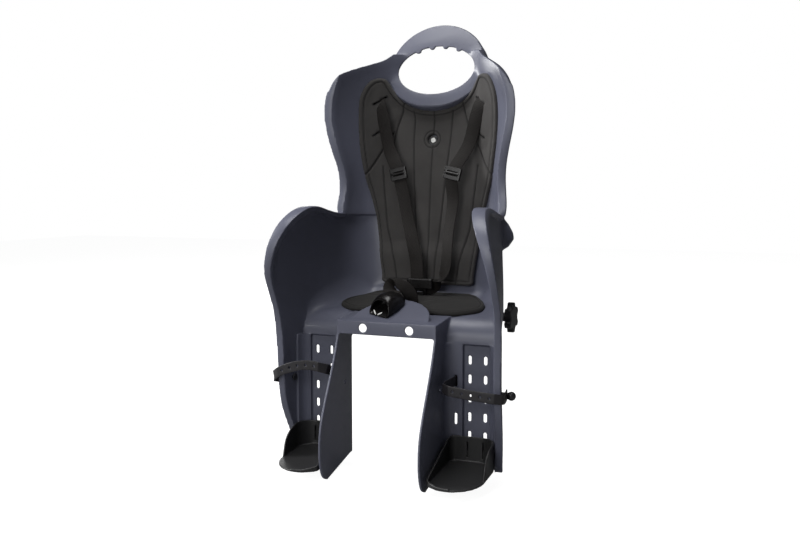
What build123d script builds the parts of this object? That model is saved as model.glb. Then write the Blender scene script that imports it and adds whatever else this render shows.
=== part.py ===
"""Child seat for a bicycle carrier: moulded shell, pads, harness, footrests and carrier clamp.

Millimetres. X to the right as seen from the front, Y to the back, Z up. The origin is where the
carrier clamp sits on the carrier's tubes, midway between them.
"""

from build123d import *

import os
from collections import namedtuple
from math import atan, cos, hypot, radians, sin, sqrt, tan

# Shell wall and rolled rim
WALL = 4.0
LIP_OUT = 8.0
LIP_DEPTH = 11.0
RIM_BEAD = 0.8
FLANGE_THICKNESS = 3.0
FLANGE_INSET = 0.5
WING_FLANGE_DEPTH = 52.0

# Half widths of the shell's outer wall, at the rim
LEG_HALF_WIDTH = 205.0
ARM_HALF_WIDTH = 187.0
ARM_TOP_HALF_WIDTH = 165.0
WAIST_HALF_WIDTH = 156.0
SHOULDER_HALF_WIDTH = 176.5

# Level sections of the shell: height, back face at the centre, a point of the side wall, how
# squarely the back turns into the side wall, and how much thicker the rim is inwards
Level = namedtuple("Level", "z back_y side_x side_y power roll")
FOOT_LEVEL = -262.0
BUCKET_LEVELS = [
    Level(FOOT_LEVEL, 75, LEG_HALF_WIDTH, -180, 6.0, 0),
    Level(-180, 75, LEG_HALF_WIDTH, -180, 6.0, 0),
    Level(-100, 75, LEG_HALF_WIDTH, -180, 6.0, 0),
    Level(-20, 75, LEG_HALF_WIDTH, -180, 6.0, 0),
    Level(60, 75, LEG_HALF_WIDTH, -180, 6.0, 0),
    Level(115, 77, LEG_HALF_WIDTH - 6, -180, 6.6, 3),
    Level(165, 80, ARM_HALF_WIDTH, -180, 8.4, 9),
    Level(215, 84, ARM_TOP_HALF_WIDTH, -180, 11.5, 12),
]
BACK_LEVELS = [
    Level(185, 82, WAIST_HALF_WIDTH, 14, 7.5, 0),
    Level(250, 88, WAIST_HALF_WIDTH, 20, 6.2, 0),
    Level(315, 98, WAIST_HALF_WIDTH + 10, 8, 4.8, 0),
    Level(380, 112, SHOULDER_HALF_WIDTH, 3, 3.3, 0),
    Level(445, 126, SHOULDER_HALF_WIDTH - 21, 15, 2.8, 0),
    Level(510, 143, SHOULDER_HALF_WIDTH - 27, 22, 2.5, 0),
]
FRONT_SPARE = 40.0
CREASE_Z = 194.0
CREASE_STEP = 2.5
CREASE_LAP = 6.0

# Side view of the rim, from the foot of the leg over the armrest to the shoulder
LEG_RIM = [(-98, FOOT_LEVEL + 28), (-112, -190), (-128, -150), (-140, -60), (-144, -5), (-154, 37)]
ARM_RIM = [(-176, 85), (-183, 125), (-164, 180), (-115, 207), (-55, 201), (-4, 194)]
WING_RIM = [(16, 205), (22, 240), (17, 275), (8, 310), (3, 360), (2, 430)]
# Front view of the shoulders, from outside to the handle
SHOULDER_RIM = [(176, 419), (155, 447), (126, 466), (98, 482), (86, 494)]
# Front view of the hook on each side wall, towards the back
SIDE_HOOK = [(152, 127), (166, 135), (176, 149), (175, 160), (166, 176), (152, 192)]
SIDE_HOOK_Y = (24.0, 36.0)

# Seat pan and leg channels
PAN_FRONT_Y = -82.0
PAN_FRONT_Z = 16.0
PAN_RISE = 0.134
PAN_SINK = 1.0
KNEE_RADIUS = 40.0
SEAT_BACK_RADIUS = 45.0
BOWL_RADIUS = 52.0
TUNNEL_HALF_WIDTH = 92.0
LEG_BOTTOM = -234.0
INNER_COVE = 14.0
OUTER_COVE = 20.0

# Front bar, and the hump in front of the crotch strap
BAR_Y = -133.0
BAR_TOP = 12.0
BAR_HEIGHT = 23.0
BAR_HOLE_SPACING = 86.0
BAR_HOLE_RADIUS = 7.5
PLATFORM_Y = -40.0
HUMP_Y = -124.0
HUMP_RADIUS = 72.0
HUMP_SLOPE = 24.0

# Inner leg wall, side view from the bar down to the toe
TOE_EDGE = [(-152, -60), (-173, -102), (-190, -136), (-201, -165), (-205, -195), (-203, -225), (-196, -245)]
TOE_TIP = (-178, -257)
HEEL_Y = -86.0
HEEL_Z = -233.0

# Footrest recess and slots in the leg's back wall
RECESS_CENTRE_X = 146.0
RECESS_WIDTH = 49.0
RECESS_TOP = -25.0
RECESS_DEPTH = 6.0
SLOT_SPACING = 28.0
SLOT_PITCH = 32.7
SLOT_TOP_Z = -52.0
SLOT_ROWS = 6
SLOT_WIDTH = 6.0
SLOT_HEIGHT = 15.0

# Carrying handle, a ring that leans back
RING_CENTRE_Y = 114.0
RING_CENTRE_Z = 457.0
RING_LEAN = 20.0
RING_DEPTH = 23.0
RING_HALF_WIDTH = 97.0
RING_TOP = 94.0
RING_BOTTOM = 76.0
RING_BACK = 33.5
RING_EDGE = 5.0
HOLE_HALF_WIDTH = 76.0
HOLE_HALF_HEIGHT = 49.0
FINGER_PITCH = 27.0
FINGER_BUMP = 5.5

# Pads and the rivet that holds the back pad
PAD_GAP = 0.3
PAD_THICKNESS = 8.0
PAD_EDGE_GAP = 3.0
BACK_PAD_HALF_WIDTHS = [(90, 50), (94, 95), (107, 180), (128, 262), (138, 330), (138, 395), (125, 436)]
BACK_PAD_LOBE = (107, 447)
SEAT_PAD_HALF_WIDTH = 136.0
SEAT_PAD_FRONT_Y = -62.0
SEAT_PAD_BACK_Y = 56.0
RIVET_Z = 329.0
RIVET_RADIUS = 4.5
RIVET_HEAD = 8.0
RIVET_HEAD_HEIGHT = 2.5
RIVET_PAD_HOLE = 9.0

# Harness webbing and its slots
WEB_WIDTH = 25.0
WEB_THICKNESS = 1.6
SHOULDER_SLOT_X = 101.0
SHOULDER_SLOT_Z = 402.0
SPARE_SLOT_Z = 341.0
SHOULDER_SLOT_TILT = 36.0
SHOULDER_SLOT_SIZE = (32.0, 8.4)
PAD_SLOT_EASE = 1.0
STRAP_CLEAR = 4.0
ANCHOR_RADIUS = 2.0
ANCHOR_LENGTH = 36.0
TONGUE_Y = 26.0
TONGUE_WIDTH = 50.0
TONGUE_DEPTH = 11.0
TONGUE_HEAD = 18.0
TONGUE_BLADE = 16.0
STRAP_END_X = 6.0
ADJUSTER_SHARE = 0.4
ADJUSTER_SIZE = (32.0, 7.0, 23.0)
CROTCH_Y = -28.0
CROTCH_SLOT_SIZE = (32.0, 7.0)
CROTCH_LOOP_HEIGHT = 46.0
SOCKET_X = -15.0
SOCKET_Y = -84.0
SOCKET_TURN = 20.0
SOCKET_SIZE = (45.0, 60.0, 18.0)
SOCKET_STRAP_DEPTH = 6.0

# Foot straps and studs
FOOT_STRAP_X = 109.0
FOOT_STRAP_Z = -88.0
SPARE_FOOT_SLOT_Z = -154.0
FOOT_SLOT_WIDTH = 5.0
LEFT_STRAP_ARCH = 26.0
FOOT_STRAP_HOLES = 5
FOOT_STRAP_HOLE = 2.2
FOOT_STRAP_WIDTH = 17.0
FOOT_STRAP_THICKNESS = 2.6
FOOT_STRAP_CLEAR = 1.5
STUD_Y = -110.0
STUD_Z = -100.0
STUD_SHANK = 3.0
STUD_COLLAR = 5.5
STUD_BALL = 7.5
STUD_SEAT = 1.4
STOP_BLOCK = 9.0
STOP_LENGTH = 22.0

# Footrests
FOOTREST_CLEAR = 1.2
FOOTREST_WALL = 3.0
LATCH_SLIT = 2.0
FOOTREST_TOP = -182.0
FOOTREST_FLOOR = -228.0
FOOTREST_FRONT_Y = -210.0
FOOTREST_PITCH = 6.0
FOOTREST_SIDE_GAP = 7.0

# Carrier clamp
CARRIER_TUBE_RADIUS = 5.0
CARRIER_TRACK = 130.0
BRIDGE_HALF_WIDTH = 75.0
BRIDGE_FRONT_Y = -16.0
BRIDGE_BACK_Y = 66.0
BRIDGE_WALL = 5.0
BRIDGE_WEB = 28.0
CLAMP_Y = 38.0
CLAMP_Z = 9.0
JAW_GAP = 3.0
JAW_THICKNESS = 8.0
JAW_LENGTH = 50.0
JAW_TOP = 20.0
JAW_HOOK = 4.5
JAW_GRIP = 1.5
SCREW_RADIUS = 4.0
SCREW_TIP_X = 4.0
SLEEVE_RADIUS = 8.0
KNOB_INNER_X = 165.0
KNOB_THICKNESS = 12.0
KNOB_RADIUS = 27.0
KNOB_LOBES = 6
NUT_FLATS = 13.0
NUT_HEIGHT = 6.5
BOLT_X = 32.0
BOLT_ROWS = (-6.0, 20.0)
BOLT_RADIUS = 3.0
BOLT_HEAD_RADIUS = 5.5
BOLT_HEAD_HEIGHT = 3.0
WASHER_RADIUS = 6.0
WASHER_HEIGHT = 1.6
BOLT_NUT_FLATS = 10.0
BOLT_NUT_HEIGHT = 5.0
RUNNING_GAP = 0.3

# Reach of the tools that trim the shell
WIDE = 300.0
BEHIND = 260.0


def side_face(*parts):
    """A face in the YZ plane from points, splines given as lists, and single points."""
    edges = []
    last = None
    first = None
    for item in parts:
        points = [Vector(0, *p) for p in (item if isinstance(item, list) else [item])]
        if last is not None and (points[0] - last).length > 1e-6:
            edges.append(Line(last, points[0]))
        if len(points) > 1:
            edges.append(Spline(*points))
        first = first or points[0]
        last = points[-1]
    edges.append(Line(last, first))
    return make_face(edges)


def across(face, half_width):
    return extrude(face, half_width, dir=(1, 0, 0), both=True)


def contour(level, off):
    """Right half of a level section, from the back's centre forward, set off outwards by off."""
    depth = level.back_y - level.side_y + FRONT_SPARE
    span = level.side_x * (depth / (depth - FRONT_SPARE)) ** (1 / level.power)
    turn = (span / (level.power * depth)) ** (1 / (level.power - 1))
    flat = turn**level.power
    shares = [turn * i / 4 for i in range(5)]
    shares += [(flat + (1 - flat) * i / 5) ** (1 / level.power) for i in range(1, 6)]
    points = []
    for share in shares:
        x = span * share
        drop = depth * share**level.power
        slope = level.power * drop / x if x else 0
        length = hypot(slope, 1)
        points.append((x + off * slope / length, level.back_y - drop + off / length))
    return points


def level_curve(level, off):
    half = contour(level, off)
    left = [(-x, y) for x, y in reversed(half[1:])]
    return [Vector(x, y, level.z) for x, y in left + half]


def tub(levels, off):
    """Solid that fills the shell up to its outer wall, set off outwards by off."""
    sections = []
    for level in levels:
        points = level_curve(level, off)
        sections.append(make_face([Spline(*points), Line(points[-1], points[0])]))
    return loft(sections)


def tub_wall(levels, off_out, off_in, roll_share=0.0):
    """Open wall between two set-offs of the outer face."""
    sections = []
    for level in levels:
        outside = level_curve(level, off_out)
        inside = level_curve(level, off_in - roll_share * level.roll)
        sections.append(make_face([
            Spline(*outside),
            Line(outside[-1], inside[-1]),
            Spline(*inside),
            Line(inside[0], outside[0]),
        ]))
    return loft(sections)


def bucket_region(shift=0.0):
    """What the rim keeps of the bucket: legs and armrests, in side view."""
    rim = [(y + shift, z - shift) for y, z in LEG_RIM + ARM_RIM]
    top = CREASE_Z + shift
    return across(side_face(rim, (rim[-1][0], top), (BEHIND, top), (BEHIND, rim[0][1])), WIDE)


def back_region(shift=0.0):
    """What the rim keeps of the back: wings in side view, shoulders in front view."""
    rim = [(y + shift, z) for y, z in WING_RIM]
    keep = across(side_face((rim[0][0], CREASE_Z - CREASE_LAP), rim, (rim[-1][0], 520), (BEHIND, 520),
                            (BEHIND, CREASE_Z - CREASE_LAP)), WIDE)
    right = [Vector(x, 0, z - shift) for x, z in SHOULDER_RIM]
    left = [Vector(-p.X, 0, p.Z) for p in reversed(right)]
    side = [(-300, 0, 395 - shift), (-300, 0, 0), (300, 0, 0), (300, 0, 395 - shift)]
    edges = [
        Spline(*right),
        Line(right[-1], left[0]),
        Spline(*left),
        Polyline(left[-1], *side, right[0]),
    ]
    return keep & extrude(make_face(edges), 400, both=True)


def mirrored(solid):
    return mirror(solid, Plane.YZ)


def block(x, y, z):
    """Box between two values on each axis."""
    size = [high - low for low, high in (x, y, z)]
    return Pos(*[(low + high) / 2 for low, high in (x, y, z)]) * Box(*size)


def rod(start, end, radius):
    axis = Vector(*end) - Vector(*start)
    return extrude(Plane(Vector(*start), z_dir=axis) * Circle(radius), axis.length)


def pan_z(y):
    """Height of the flat part of the seat pan."""
    return PAN_FRONT_Z + PAN_RISE * (y - PAN_FRONT_Y)


def knee_z(y):
    """Height of the seat surface where it rolls down into the leg channels."""
    start = PAN_FRONT_Y + KNEE_RADIUS
    if y >= start:
        return pan_z(y)
    return pan_z(start) - KNEE_RADIUS + sqrt(KNEE_RADIUS**2 - (start - y) ** 2)


def side_wall_x(y):
    """Outer face of the shell's side wall beside the legs and the seat."""
    level = BUCKET_LEVELS[0]
    return level.side_x * ((level.back_y - y) / (level.back_y - level.side_y)) ** (1 / level.power)


def under_seat(off):
    """Side view of the room under the seat pan and behind the legs, off below the pan's top."""
    front = PAN_FRONT_Y + off
    back = BUCKET_LEVELS[0].back_y - WALL + PAN_SINK + off
    top = pan_z(back) + 2 * SEAT_BACK_RADIUS
    bottom = FOOT_LEVEL - WALL
    line = FilletPolyline(
        (0, front, bottom),
        (0, front, pan_z(front) - off),
        (0, back, pan_z(back) - off),
        (0, back, top),
        radius=[KNEE_RADIUS - off, SEAT_BACK_RADIUS + off],
    )
    close = Polyline((0, back, top), (0, BEHIND, top), (0, BEHIND, bottom), (0, front, bottom))
    return make_face([*line.edges(), *close.edges()])


def bowl_fill(off=0.0):
    """Right-hand fill that rounds the seat pan up into the side wall, its round set in by off."""
    sections = []
    for y, radius in ((58, BOWL_RADIUS), (0, BOWL_RADIUS), (-58, BOWL_RADIUS / 2), (-76, BOWL_RADIUS / 5)):
        x = side_wall_x(y) - WALL / 2
        z = knee_z(y) - WALL / 2
        foot = Vector(x - radius, y, z + off)
        head = Vector(x - off, y, z + radius)
        reach = (radius - off) * sin(radians(45))
        middle = Vector(x - radius + reach, y, z + radius - reach)
        outside = Polyline(head, (x + WALL / 4, y, z + radius), (x + WALL / 4, y, z - WALL / 4),
                           (x - radius, y, z - WALL / 4), foot)
        sections.append(make_face([ThreePointArc(foot, middle, head), *outside.edges()]))
    return loft(sections)


def leg_cove(x, towards, radius):
    """Round in the corner between a leg's side wall at x and its back wall."""
    far = x + towards * radius
    low = min(x - towards * WALL / 2, far)
    high = max(x - towards * WALL / 2, far)
    z = (LEG_BOTTOM, pan_z(PAN_FRONT_Y) - KNEE_RADIUS)
    corner = block((low, high), (PAN_FRONT_Y - radius, PAN_FRONT_Y + WALL / 2), z)
    return corner - rod((far, PAN_FRONT_Y - radius, z[0] - 1), (far, PAN_FRONT_Y - radius, z[1] + 1), radius)


def inner_leg_wall():
    """Side of the wheel tunnel, right-hand, with the toe guard that reaches forward."""
    bar_bottom = BAR_TOP - BAR_HEIGHT
    behind = PAN_FRONT_Y + WALL / 2
    face = side_face(
        [(BAR_Y, bar_bottom), *TOE_EDGE, TOE_TIP],
        (HEEL_Y, HEEL_Z),
        (behind, HEEL_Z),
        (behind, pan_z(PAN_FRONT_Y) - KNEE_RADIUS),
        (PLATFORM_Y, pan_z(PLATFORM_Y) - WALL),
        (PLATFORM_Y, pan_z(PLATFORM_Y)),
        (BAR_Y, BAR_TOP),
    )
    return Pos(TUNNEL_HALF_WIDTH - WALL / 2, 0, 0) * across(face, WALL / 2)


def front_platform():
    """Plate from the seat pan to the front bar, with the bar's skirt."""
    bar_bottom = BAR_TOP - BAR_HEIGHT
    rear = PLATFORM_Y + PAN_SINK
    face = side_face(
        (BAR_Y, bar_bottom),
        (BAR_Y, BAR_TOP),
        (PLATFORM_Y, pan_z(PLATFORM_Y)),
        (rear, pan_z(PLATFORM_Y)),
        (rear, pan_z(PLATFORM_Y) - WALL),
        (BAR_Y + WALL, BAR_TOP - WALL),
        (BAR_Y + WALL, bar_bottom),
    )
    return across(face, TUNNEL_HALF_WIDTH - WALL / 2)


def hump(off):
    """Half-round wedge in front of the crotch strap, set in by off."""
    rise = tan(radians(HUMP_SLOPE))
    start = HUMP_Y + off
    end = HUMP_Y + HUMP_RADIUS + WALL
    top = BAR_TOP - off / cos(radians(HUMP_SLOPE))
    bottom = BAR_TOP - WALL / 2 - 2 * off
    wedge = side_face((start, bottom), (start, top + rise * off), (end, top + rise * (end - HUMP_Y)), (end, bottom))
    return across(wedge, HUMP_RADIUS) & rod((0, HUMP_Y, bottom), (0, HUMP_Y, top + HUMP_RADIUS), HUMP_RADIUS - off)


def ring_plane():
    lean = radians(RING_LEAN)
    return Plane((0, RING_CENTRE_Y, RING_CENTRE_Z), x_dir=(1, 0, 0), z_dir=(0, -cos(lean), sin(lean)))


def ring_outline(off=0.0):
    """Outer edge of the handle in its own plane, grown by off."""
    wide = RING_HALF_WIDTH + off
    reach = 2 * wide
    upper = Ellipse(wide, RING_TOP + off) & Pos(0, reach / 2) * Rectangle(reach, reach)
    lower = Ellipse(wide, RING_BOTTOM + off) & Pos(0, -reach / 2) * Rectangle(reach, reach)
    return upper + lower


def ring_hole():
    """Hand hole of the handle, with finger bumps along its upper edge."""
    hole = Ellipse(HOLE_HALF_WIDTH, HOLE_HALF_HEIGHT)
    for share in (-1.5, -0.5, 0.5, 1.5):
        x = share * FINGER_PITCH
        y = HOLE_HALF_HEIGHT * sqrt(1 - (x / HOLE_HALF_WIDTH) ** 2)
        hole -= Pos(x, y) * Circle(FINGER_BUMP)
    return hole


def handle():
    """Handle ring, deep enough to meet the back panel, its front edge rounded."""
    front = RING_DEPTH / 2
    ring = Pos(0, 0, front - RING_BACK) * extrude(ring_outline(), RING_BACK)
    rounded = [edge for edge in ring.edges() if edge.center().Z > front - RING_EDGE / 2]
    return ring_plane() * fillet(rounded, RING_EDGE)


def shoulder_slots(half_length, half_height):
    """Through-cutters for the four shoulder strap slots."""
    cutters = []
    for z in (SHOULDER_SLOT_Z, SPARE_SLOT_Z):
        tool = Rot(0, SHOULDER_SLOT_TILT, 0) * Box(2 * half_length, WIDE, 2 * half_height)
        right = Pos(SHOULDER_SLOT_X, 0, z) * tool
        cutters += [right, mirrored(right)]
    return cutters


def bolt_planes():
    """Where the bolts stand on the seat pan, square to it."""
    tilt = atan(PAN_RISE)
    planes = []
    for y in BOLT_ROWS:
        for x in (-BOLT_X, BOLT_X):
            planes.append(Plane((x, y, pan_z(y)), x_dir=(1, 0, 0), z_dir=(0, -sin(tilt), cos(tilt))))
    return planes


def on_bolts(low, high, section):
    """A section of each bolt stack, between two heights above the seat pan."""
    return [extrude(plane.offset(low) * section, high - low) for plane in bolt_planes()]


def leg_cutters():
    """Right-hand recess for the footrest, its rows of slots and the strap slots."""
    recess_x = (RECESS_CENTRE_X - RECESS_WIDTH / 2, RECESS_CENTRE_X + RECESS_WIDTH / 2)
    floor_y = PAN_FRONT_Y + RECESS_DEPTH
    cutters = [block(recess_x, (PAN_FRONT_Y - OUTER_COVE, floor_y), (LEG_BOTTOM - WALL, RECESS_TOP))]
    through = (PAN_FRONT_Y - OUTER_COVE, floor_y + 2 * WALL)
    for row in range(SLOT_ROWS):
        z = SLOT_TOP_Z - row * SLOT_PITCH
        for side in (-1, 1):
            x = RECESS_CENTRE_X + side * SLOT_SPACING / 2
            cutters.append(block((x - SLOT_WIDTH / 2, x + SLOT_WIDTH / 2), through,
                                 (z - SLOT_HEIGHT / 2, z + SLOT_HEIGHT / 2)))
    half_height = FOOT_STRAP_WIDTH / 2 + FOOT_STRAP_CLEAR
    for z in (FOOT_STRAP_Z, SPARE_FOOT_SLOT_Z):
        cutters.append(block((FOOT_STRAP_X - FOOT_SLOT_WIDTH / 2, FOOT_STRAP_X + FOOT_SLOT_WIDTH / 2), through,
                             (z - half_height, z + half_height)))
    return cutters


def recess_backing():
    """Thickened back wall behind the right-hand footrest recess."""
    half = RECESS_WIDTH / 2 + WALL
    x = (RECESS_CENTRE_X - half, RECESS_CENTRE_X + half)
    return block(x, (PAN_FRONT_Y + WALL / 2, PAN_FRONT_Y + RECESS_DEPTH + WALL), (LEG_BOTTOM, RECESS_TOP + WALL))


def wing_flange():
    """Return that runs back from the lip of the wings, outside the wall."""
    outside = LIP_OUT - FLANGE_INSET
    wall = tub_wall(BACK_LEVELS, outside, outside - FLANGE_THICKNESS)
    return wall & (back_region(LIP_DEPTH / 2) - back_region(WING_FLANGE_DEPTH))


def side_hook():
    """Right-hand hook lug on the outside of the side wall."""
    face = make_face(Polyline(*[(x, SIDE_HOOK_Y[1], z) for x, z in SIDE_HOOK], close=True))
    return extrude(face, SIDE_HOOK_Y[1] - SIDE_HOOK_Y[0], dir=(0, -1, 0))


def seat_shell():
    """The one-piece moulded shell."""
    low = across(under_seat(WALL), WIDE)
    bucket = (tub_wall(BUCKET_LEVELS, 0, -WALL) & bucket_region()) - low
    bucket_rim = tub_wall(BUCKET_LEVELS, LIP_OUT, -WALL - RIM_BEAD, 1.0)
    bucket_rim = (bucket_rim & (bucket_region() - bucket_region(LIP_DEPTH))) - low
    back = tub_wall(BACK_LEVELS, -CREASE_STEP, -WALL - CREASE_STEP) & back_region()
    back_rim = tub_wall(BACK_LEVELS, LIP_OUT, -WALL - CREASE_STEP - RIM_BEAD)
    back_rim = back_rim & (back_region() - back_region(LIP_DEPTH))
    tunnel = block((-TUNNEL_HALF_WIDTH + WALL / 2, TUNNEL_HALF_WIDTH - WALL / 2),
                   (-BEHIND, PLATFORM_Y), (FOOT_LEVEL - WIDE, WIDE))
    below = block((-WIDE, WIDE), (-WIDE, WIDE), (LEG_BOTTOM - WIDE, LEG_BOTTOM))
    pan = ((across(under_seat(0), WIDE) - low) & tub(BUCKET_LEVELS, -WALL / 2)) - tunnel - below
    leg_x = side_wall_x(PAN_FRONT_Y) - WALL
    right = [
        bowl_fill(),
        inner_leg_wall(),
        leg_cove(TUNNEL_HALF_WIDTH, 1, INNER_COVE),
        leg_cove(leg_x, -1, OUTER_COVE),
        recess_backing(),
        side_hook(),
    ]
    pieces = [bucket_rim, back, back_rim, wing_flange(), pan, front_platform(), hump(0), handle()]
    shell = bucket + [*pieces, *right, *[mirrored(piece) for piece in right]]
    hole = ring_plane() * extrude(ring_hole(), WIDE / 3, both=True)
    channel = Pos(0, 0, RING_DEPTH / 2 - WALL - WIDE / 3) * extrude(ring_outline(-WALL), WIDE / 3)
    channel = ring_plane() * channel
    length, height = SHOULDER_SLOT_SIZE
    stud = rod((0, STUD_Y, STUD_Z), (WIDE, STUD_Y, STUD_Z), STUD_SHANK + RUNNING_GAP)
    right_cuts = [*leg_cutters(), stud]
    cutters = [hump(WALL), hole, channel, *shoulder_slots(length / 2, height / 2), *right_cuts]
    cutters += [mirrored(cutter) for cutter in right_cuts]
    cutters += on_bolts(-2 * WALL, WALL, Circle(BOLT_RADIUS + RUNNING_GAP))
    cutters.append(rod((0, 0, RIVET_Z), (0, WIDE, RIVET_Z), RIVET_RADIUS + RUNNING_GAP))
    bar_z = BAR_TOP - BAR_HEIGHT / 2
    for side in (-1, 1):
        x = side * BAR_HOLE_SPACING / 2
        cutters.append(rod((x, BAR_Y - WALL, bar_z), (x, BAR_Y + 2 * WALL, bar_z), BAR_HOLE_RADIUS))
    crotch_x, crotch_y = CROTCH_SLOT_SIZE
    cutters.append(block((-crotch_x / 2, crotch_x / 2), (CROTCH_Y - crotch_y / 2, CROTCH_Y + crotch_y / 2),
                         (pan_z(CROTCH_Y) - 3 * WALL, pan_z(CROTCH_Y) + WALL)))
    return shell - cutters


def unit(vector):
    return vector / vector.length


def ribbon(points, across_dirs, width, thickness):
    """Flat band through the points, its width along the direction given at each."""
    sections = []
    for i, point in enumerate(points):
        ahead = points[min(i + 1, len(points) - 1)] - points[max(i - 1, 0)]
        sections.append(Plane(point, x_dir=across_dirs[i], z_dir=ahead) * Rectangle(width, thickness))
    return loft(sections, ruled=True)


def back_pad():
    """Padded sheet on the back, with lobes beside the handle."""
    inside = -WALL - CREASE_STEP - PAD_GAP
    upper = tub_wall(BACK_LEVELS, inside, inside - PAD_THICKNESS)
    lower = tub_wall(BUCKET_LEVELS, inside, inside - PAD_THICKNESS)
    right = [Vector(x, 0, z) for x, z in [*BACK_PAD_HALF_WIDTHS, BACK_PAD_LOBE]]
    left = [Vector(-p.X, 0, p.Z) for p in reversed(right)]
    outline = make_face([Spline(*right), Line(right[-1], left[0]), Spline(*left), Line(left[-1], right[0])])
    reach = extrude(outline, WIDE, both=True) & block((-WIDE, WIDE), (-BEHIND / 4, BEHIND), (-WIDE, 2 * WIDE))
    split = CREASE_Z - CREASE_LAP - PAD_GAP
    upper = upper & reach & block((-WIDE, WIDE), (-WIDE, WIDE), (split, 2 * WIDE))
    lower = lower & reach & block((-WIDE, WIDE), (-WIDE, WIDE), (-WIDE, split))
    seat = above_seat(2 * PAD_GAP + PAD_THICKNESS)
    length, height = SHOULDER_SLOT_SIZE
    cutters = shoulder_slots(length / 2 + PAD_SLOT_EASE, height / 2 + PAD_SLOT_EASE)
    cutters.append(rod((0, 0, RIVET_Z), (0, WIDE, RIVET_Z), RIVET_PAD_HOLE))
    cutters.append(ring_plane() * extrude(ring_outline(PAD_EDGE_GAP), WIDE / 3, both=True))
    return upper + lower - seat - cutters


def above_seat(off):
    """Everything below the seat surface and its rounded sides, raised by off."""
    fill = bowl_fill(off)
    bottom = BAR_TOP - BAR_HEIGHT
    platform = side_face((BAR_Y, bottom), (BAR_Y, BAR_TOP + off), (PLATFORM_Y, pan_z(PLATFORM_Y) + off),
                         (PLATFORM_Y, bottom))
    return across(under_seat(-off), WIDE) + [fill, mirrored(fill), across(platform, TUNNEL_HALF_WIDTH + off)]


def seat_pad():
    """Padded sheet on the seat pan, open round the hump and over the bolt heads."""
    sheet = above_seat(PAD_GAP + PAD_THICKNESS) - above_seat(PAD_GAP)
    right = [
        Vector(HUMP_RADIUS, SEAT_PAD_FRONT_Y, 0),
        Vector(SEAT_PAD_HALF_WIDTH * 0.8, SEAT_PAD_FRONT_Y * 0.85, 0),
        Vector(SEAT_PAD_HALF_WIDTH, SEAT_PAD_FRONT_Y * 0.35, 0),
        Vector(SEAT_PAD_HALF_WIDTH * 0.86, SEAT_PAD_BACK_Y * 0.6, 0),
        Vector(BACK_PAD_HALF_WIDTHS[0][0], SEAT_PAD_BACK_Y, 0),
    ]
    left = [Vector(-p.X, p.Y, 0) for p in reversed(right)]
    outline = make_face([Spline(*right), Line(right[-1], left[0]), Spline(*left), Line(left[-1], right[0])])
    cutters = on_bolts(0, BOLT_HEAD_HEIGHT + PAD_GAP, Circle(BOLT_HEAD_RADIUS + PAD_GAP))
    around_hump = HUMP_RADIUS + PAD_EDGE_GAP
    cutters.append(rod((0, HUMP_Y, -WIDE), (0, HUMP_Y, WIDE), around_hump))
    width, length = CROTCH_SLOT_SIZE
    cutters.append(block((-width / 2, width / 2), (CROTCH_Y - length / 2, CROTCH_Y + length / 2), (-WIDE, WIDE)))
    return (sheet & extrude(outline, WIDE, both=True)) - cutters


def pad_rivet():
    """Rivet that holds the back pad to the shell, its heads lying on the wall."""
    through = rod((0, 0, RIVET_Z), (0, WIDE, RIVET_Z), RIVET_HEAD)
    inside = -WALL - CREASE_STEP - PAD_GAP / 3
    front_head = through & tub_wall(BACK_LEVELS, inside, inside - RIVET_HEAD_HEIGHT)
    outside = -CREASE_STEP + PAD_GAP / 3
    rear_head = through & tub_wall(BACK_LEVELS, outside + RIVET_HEAD_HEIGHT, outside)
    front_y = front_head.bounding_box().center().Y
    rear_y = rear_head.bounding_box().center().Y
    shank = rod((0, front_y, RIVET_Z), (0, rear_y, RIVET_Z), RIVET_RADIUS)
    return front_head + rear_head + shank


def shoulder_slot_ends(shell):
    """Where the right shoulder slot's ends meet the back of the shell."""
    half = ANCHOR_LENGTH / 2
    tilt = radians(SHOULDER_SLOT_TILT)
    ends = []
    for side in (-1, 1):
        x = SHOULDER_SLOT_X + side * half * cos(tilt)
        z = SHOULDER_SLOT_Z - side * half * sin(tilt)
        hits = shell.find_intersection_points(Axis((x, -BEHIND, z), (0, 1, 0)))
        ends.append(max((point for point, _ in hits), key=lambda point: point.Y))
    return ends


def shoulder_frame(shell):
    """Axis of the right strap anchor and its directions: along, backwards and up."""
    inner, outer = shoulder_slot_ends(shell)
    along = unit(outer - inner)
    back = unit(Vector(0, 1, 0) - along * along.Y)
    up = unit(along.cross(back))
    if up.Z < 0:
        up = -up
    lift = back * (ANCHOR_RADIUS + RUNNING_GAP)
    return inner + lift, outer + lift, along, back, up


def strap_anchor(shell):
    inner, outer, _, _, _ = shoulder_frame(shell)
    return rod(inner, outer, ANCHOR_RADIUS)


def strap_end(side):
    """Lower end of a shoulder strap in the buckle tongue; the right strap lies in front."""
    foot = pan_z(TONGUE_Y) + PAD_GAP * 2 + PAD_THICKNESS + TONGUE_BLADE + TONGUE_HEAD / 2
    apart = (WEB_THICKNESS + RUNNING_GAP) / 2
    return Vector(STRAP_END_X, TONGUE_Y - side * apart, foot)


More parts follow.
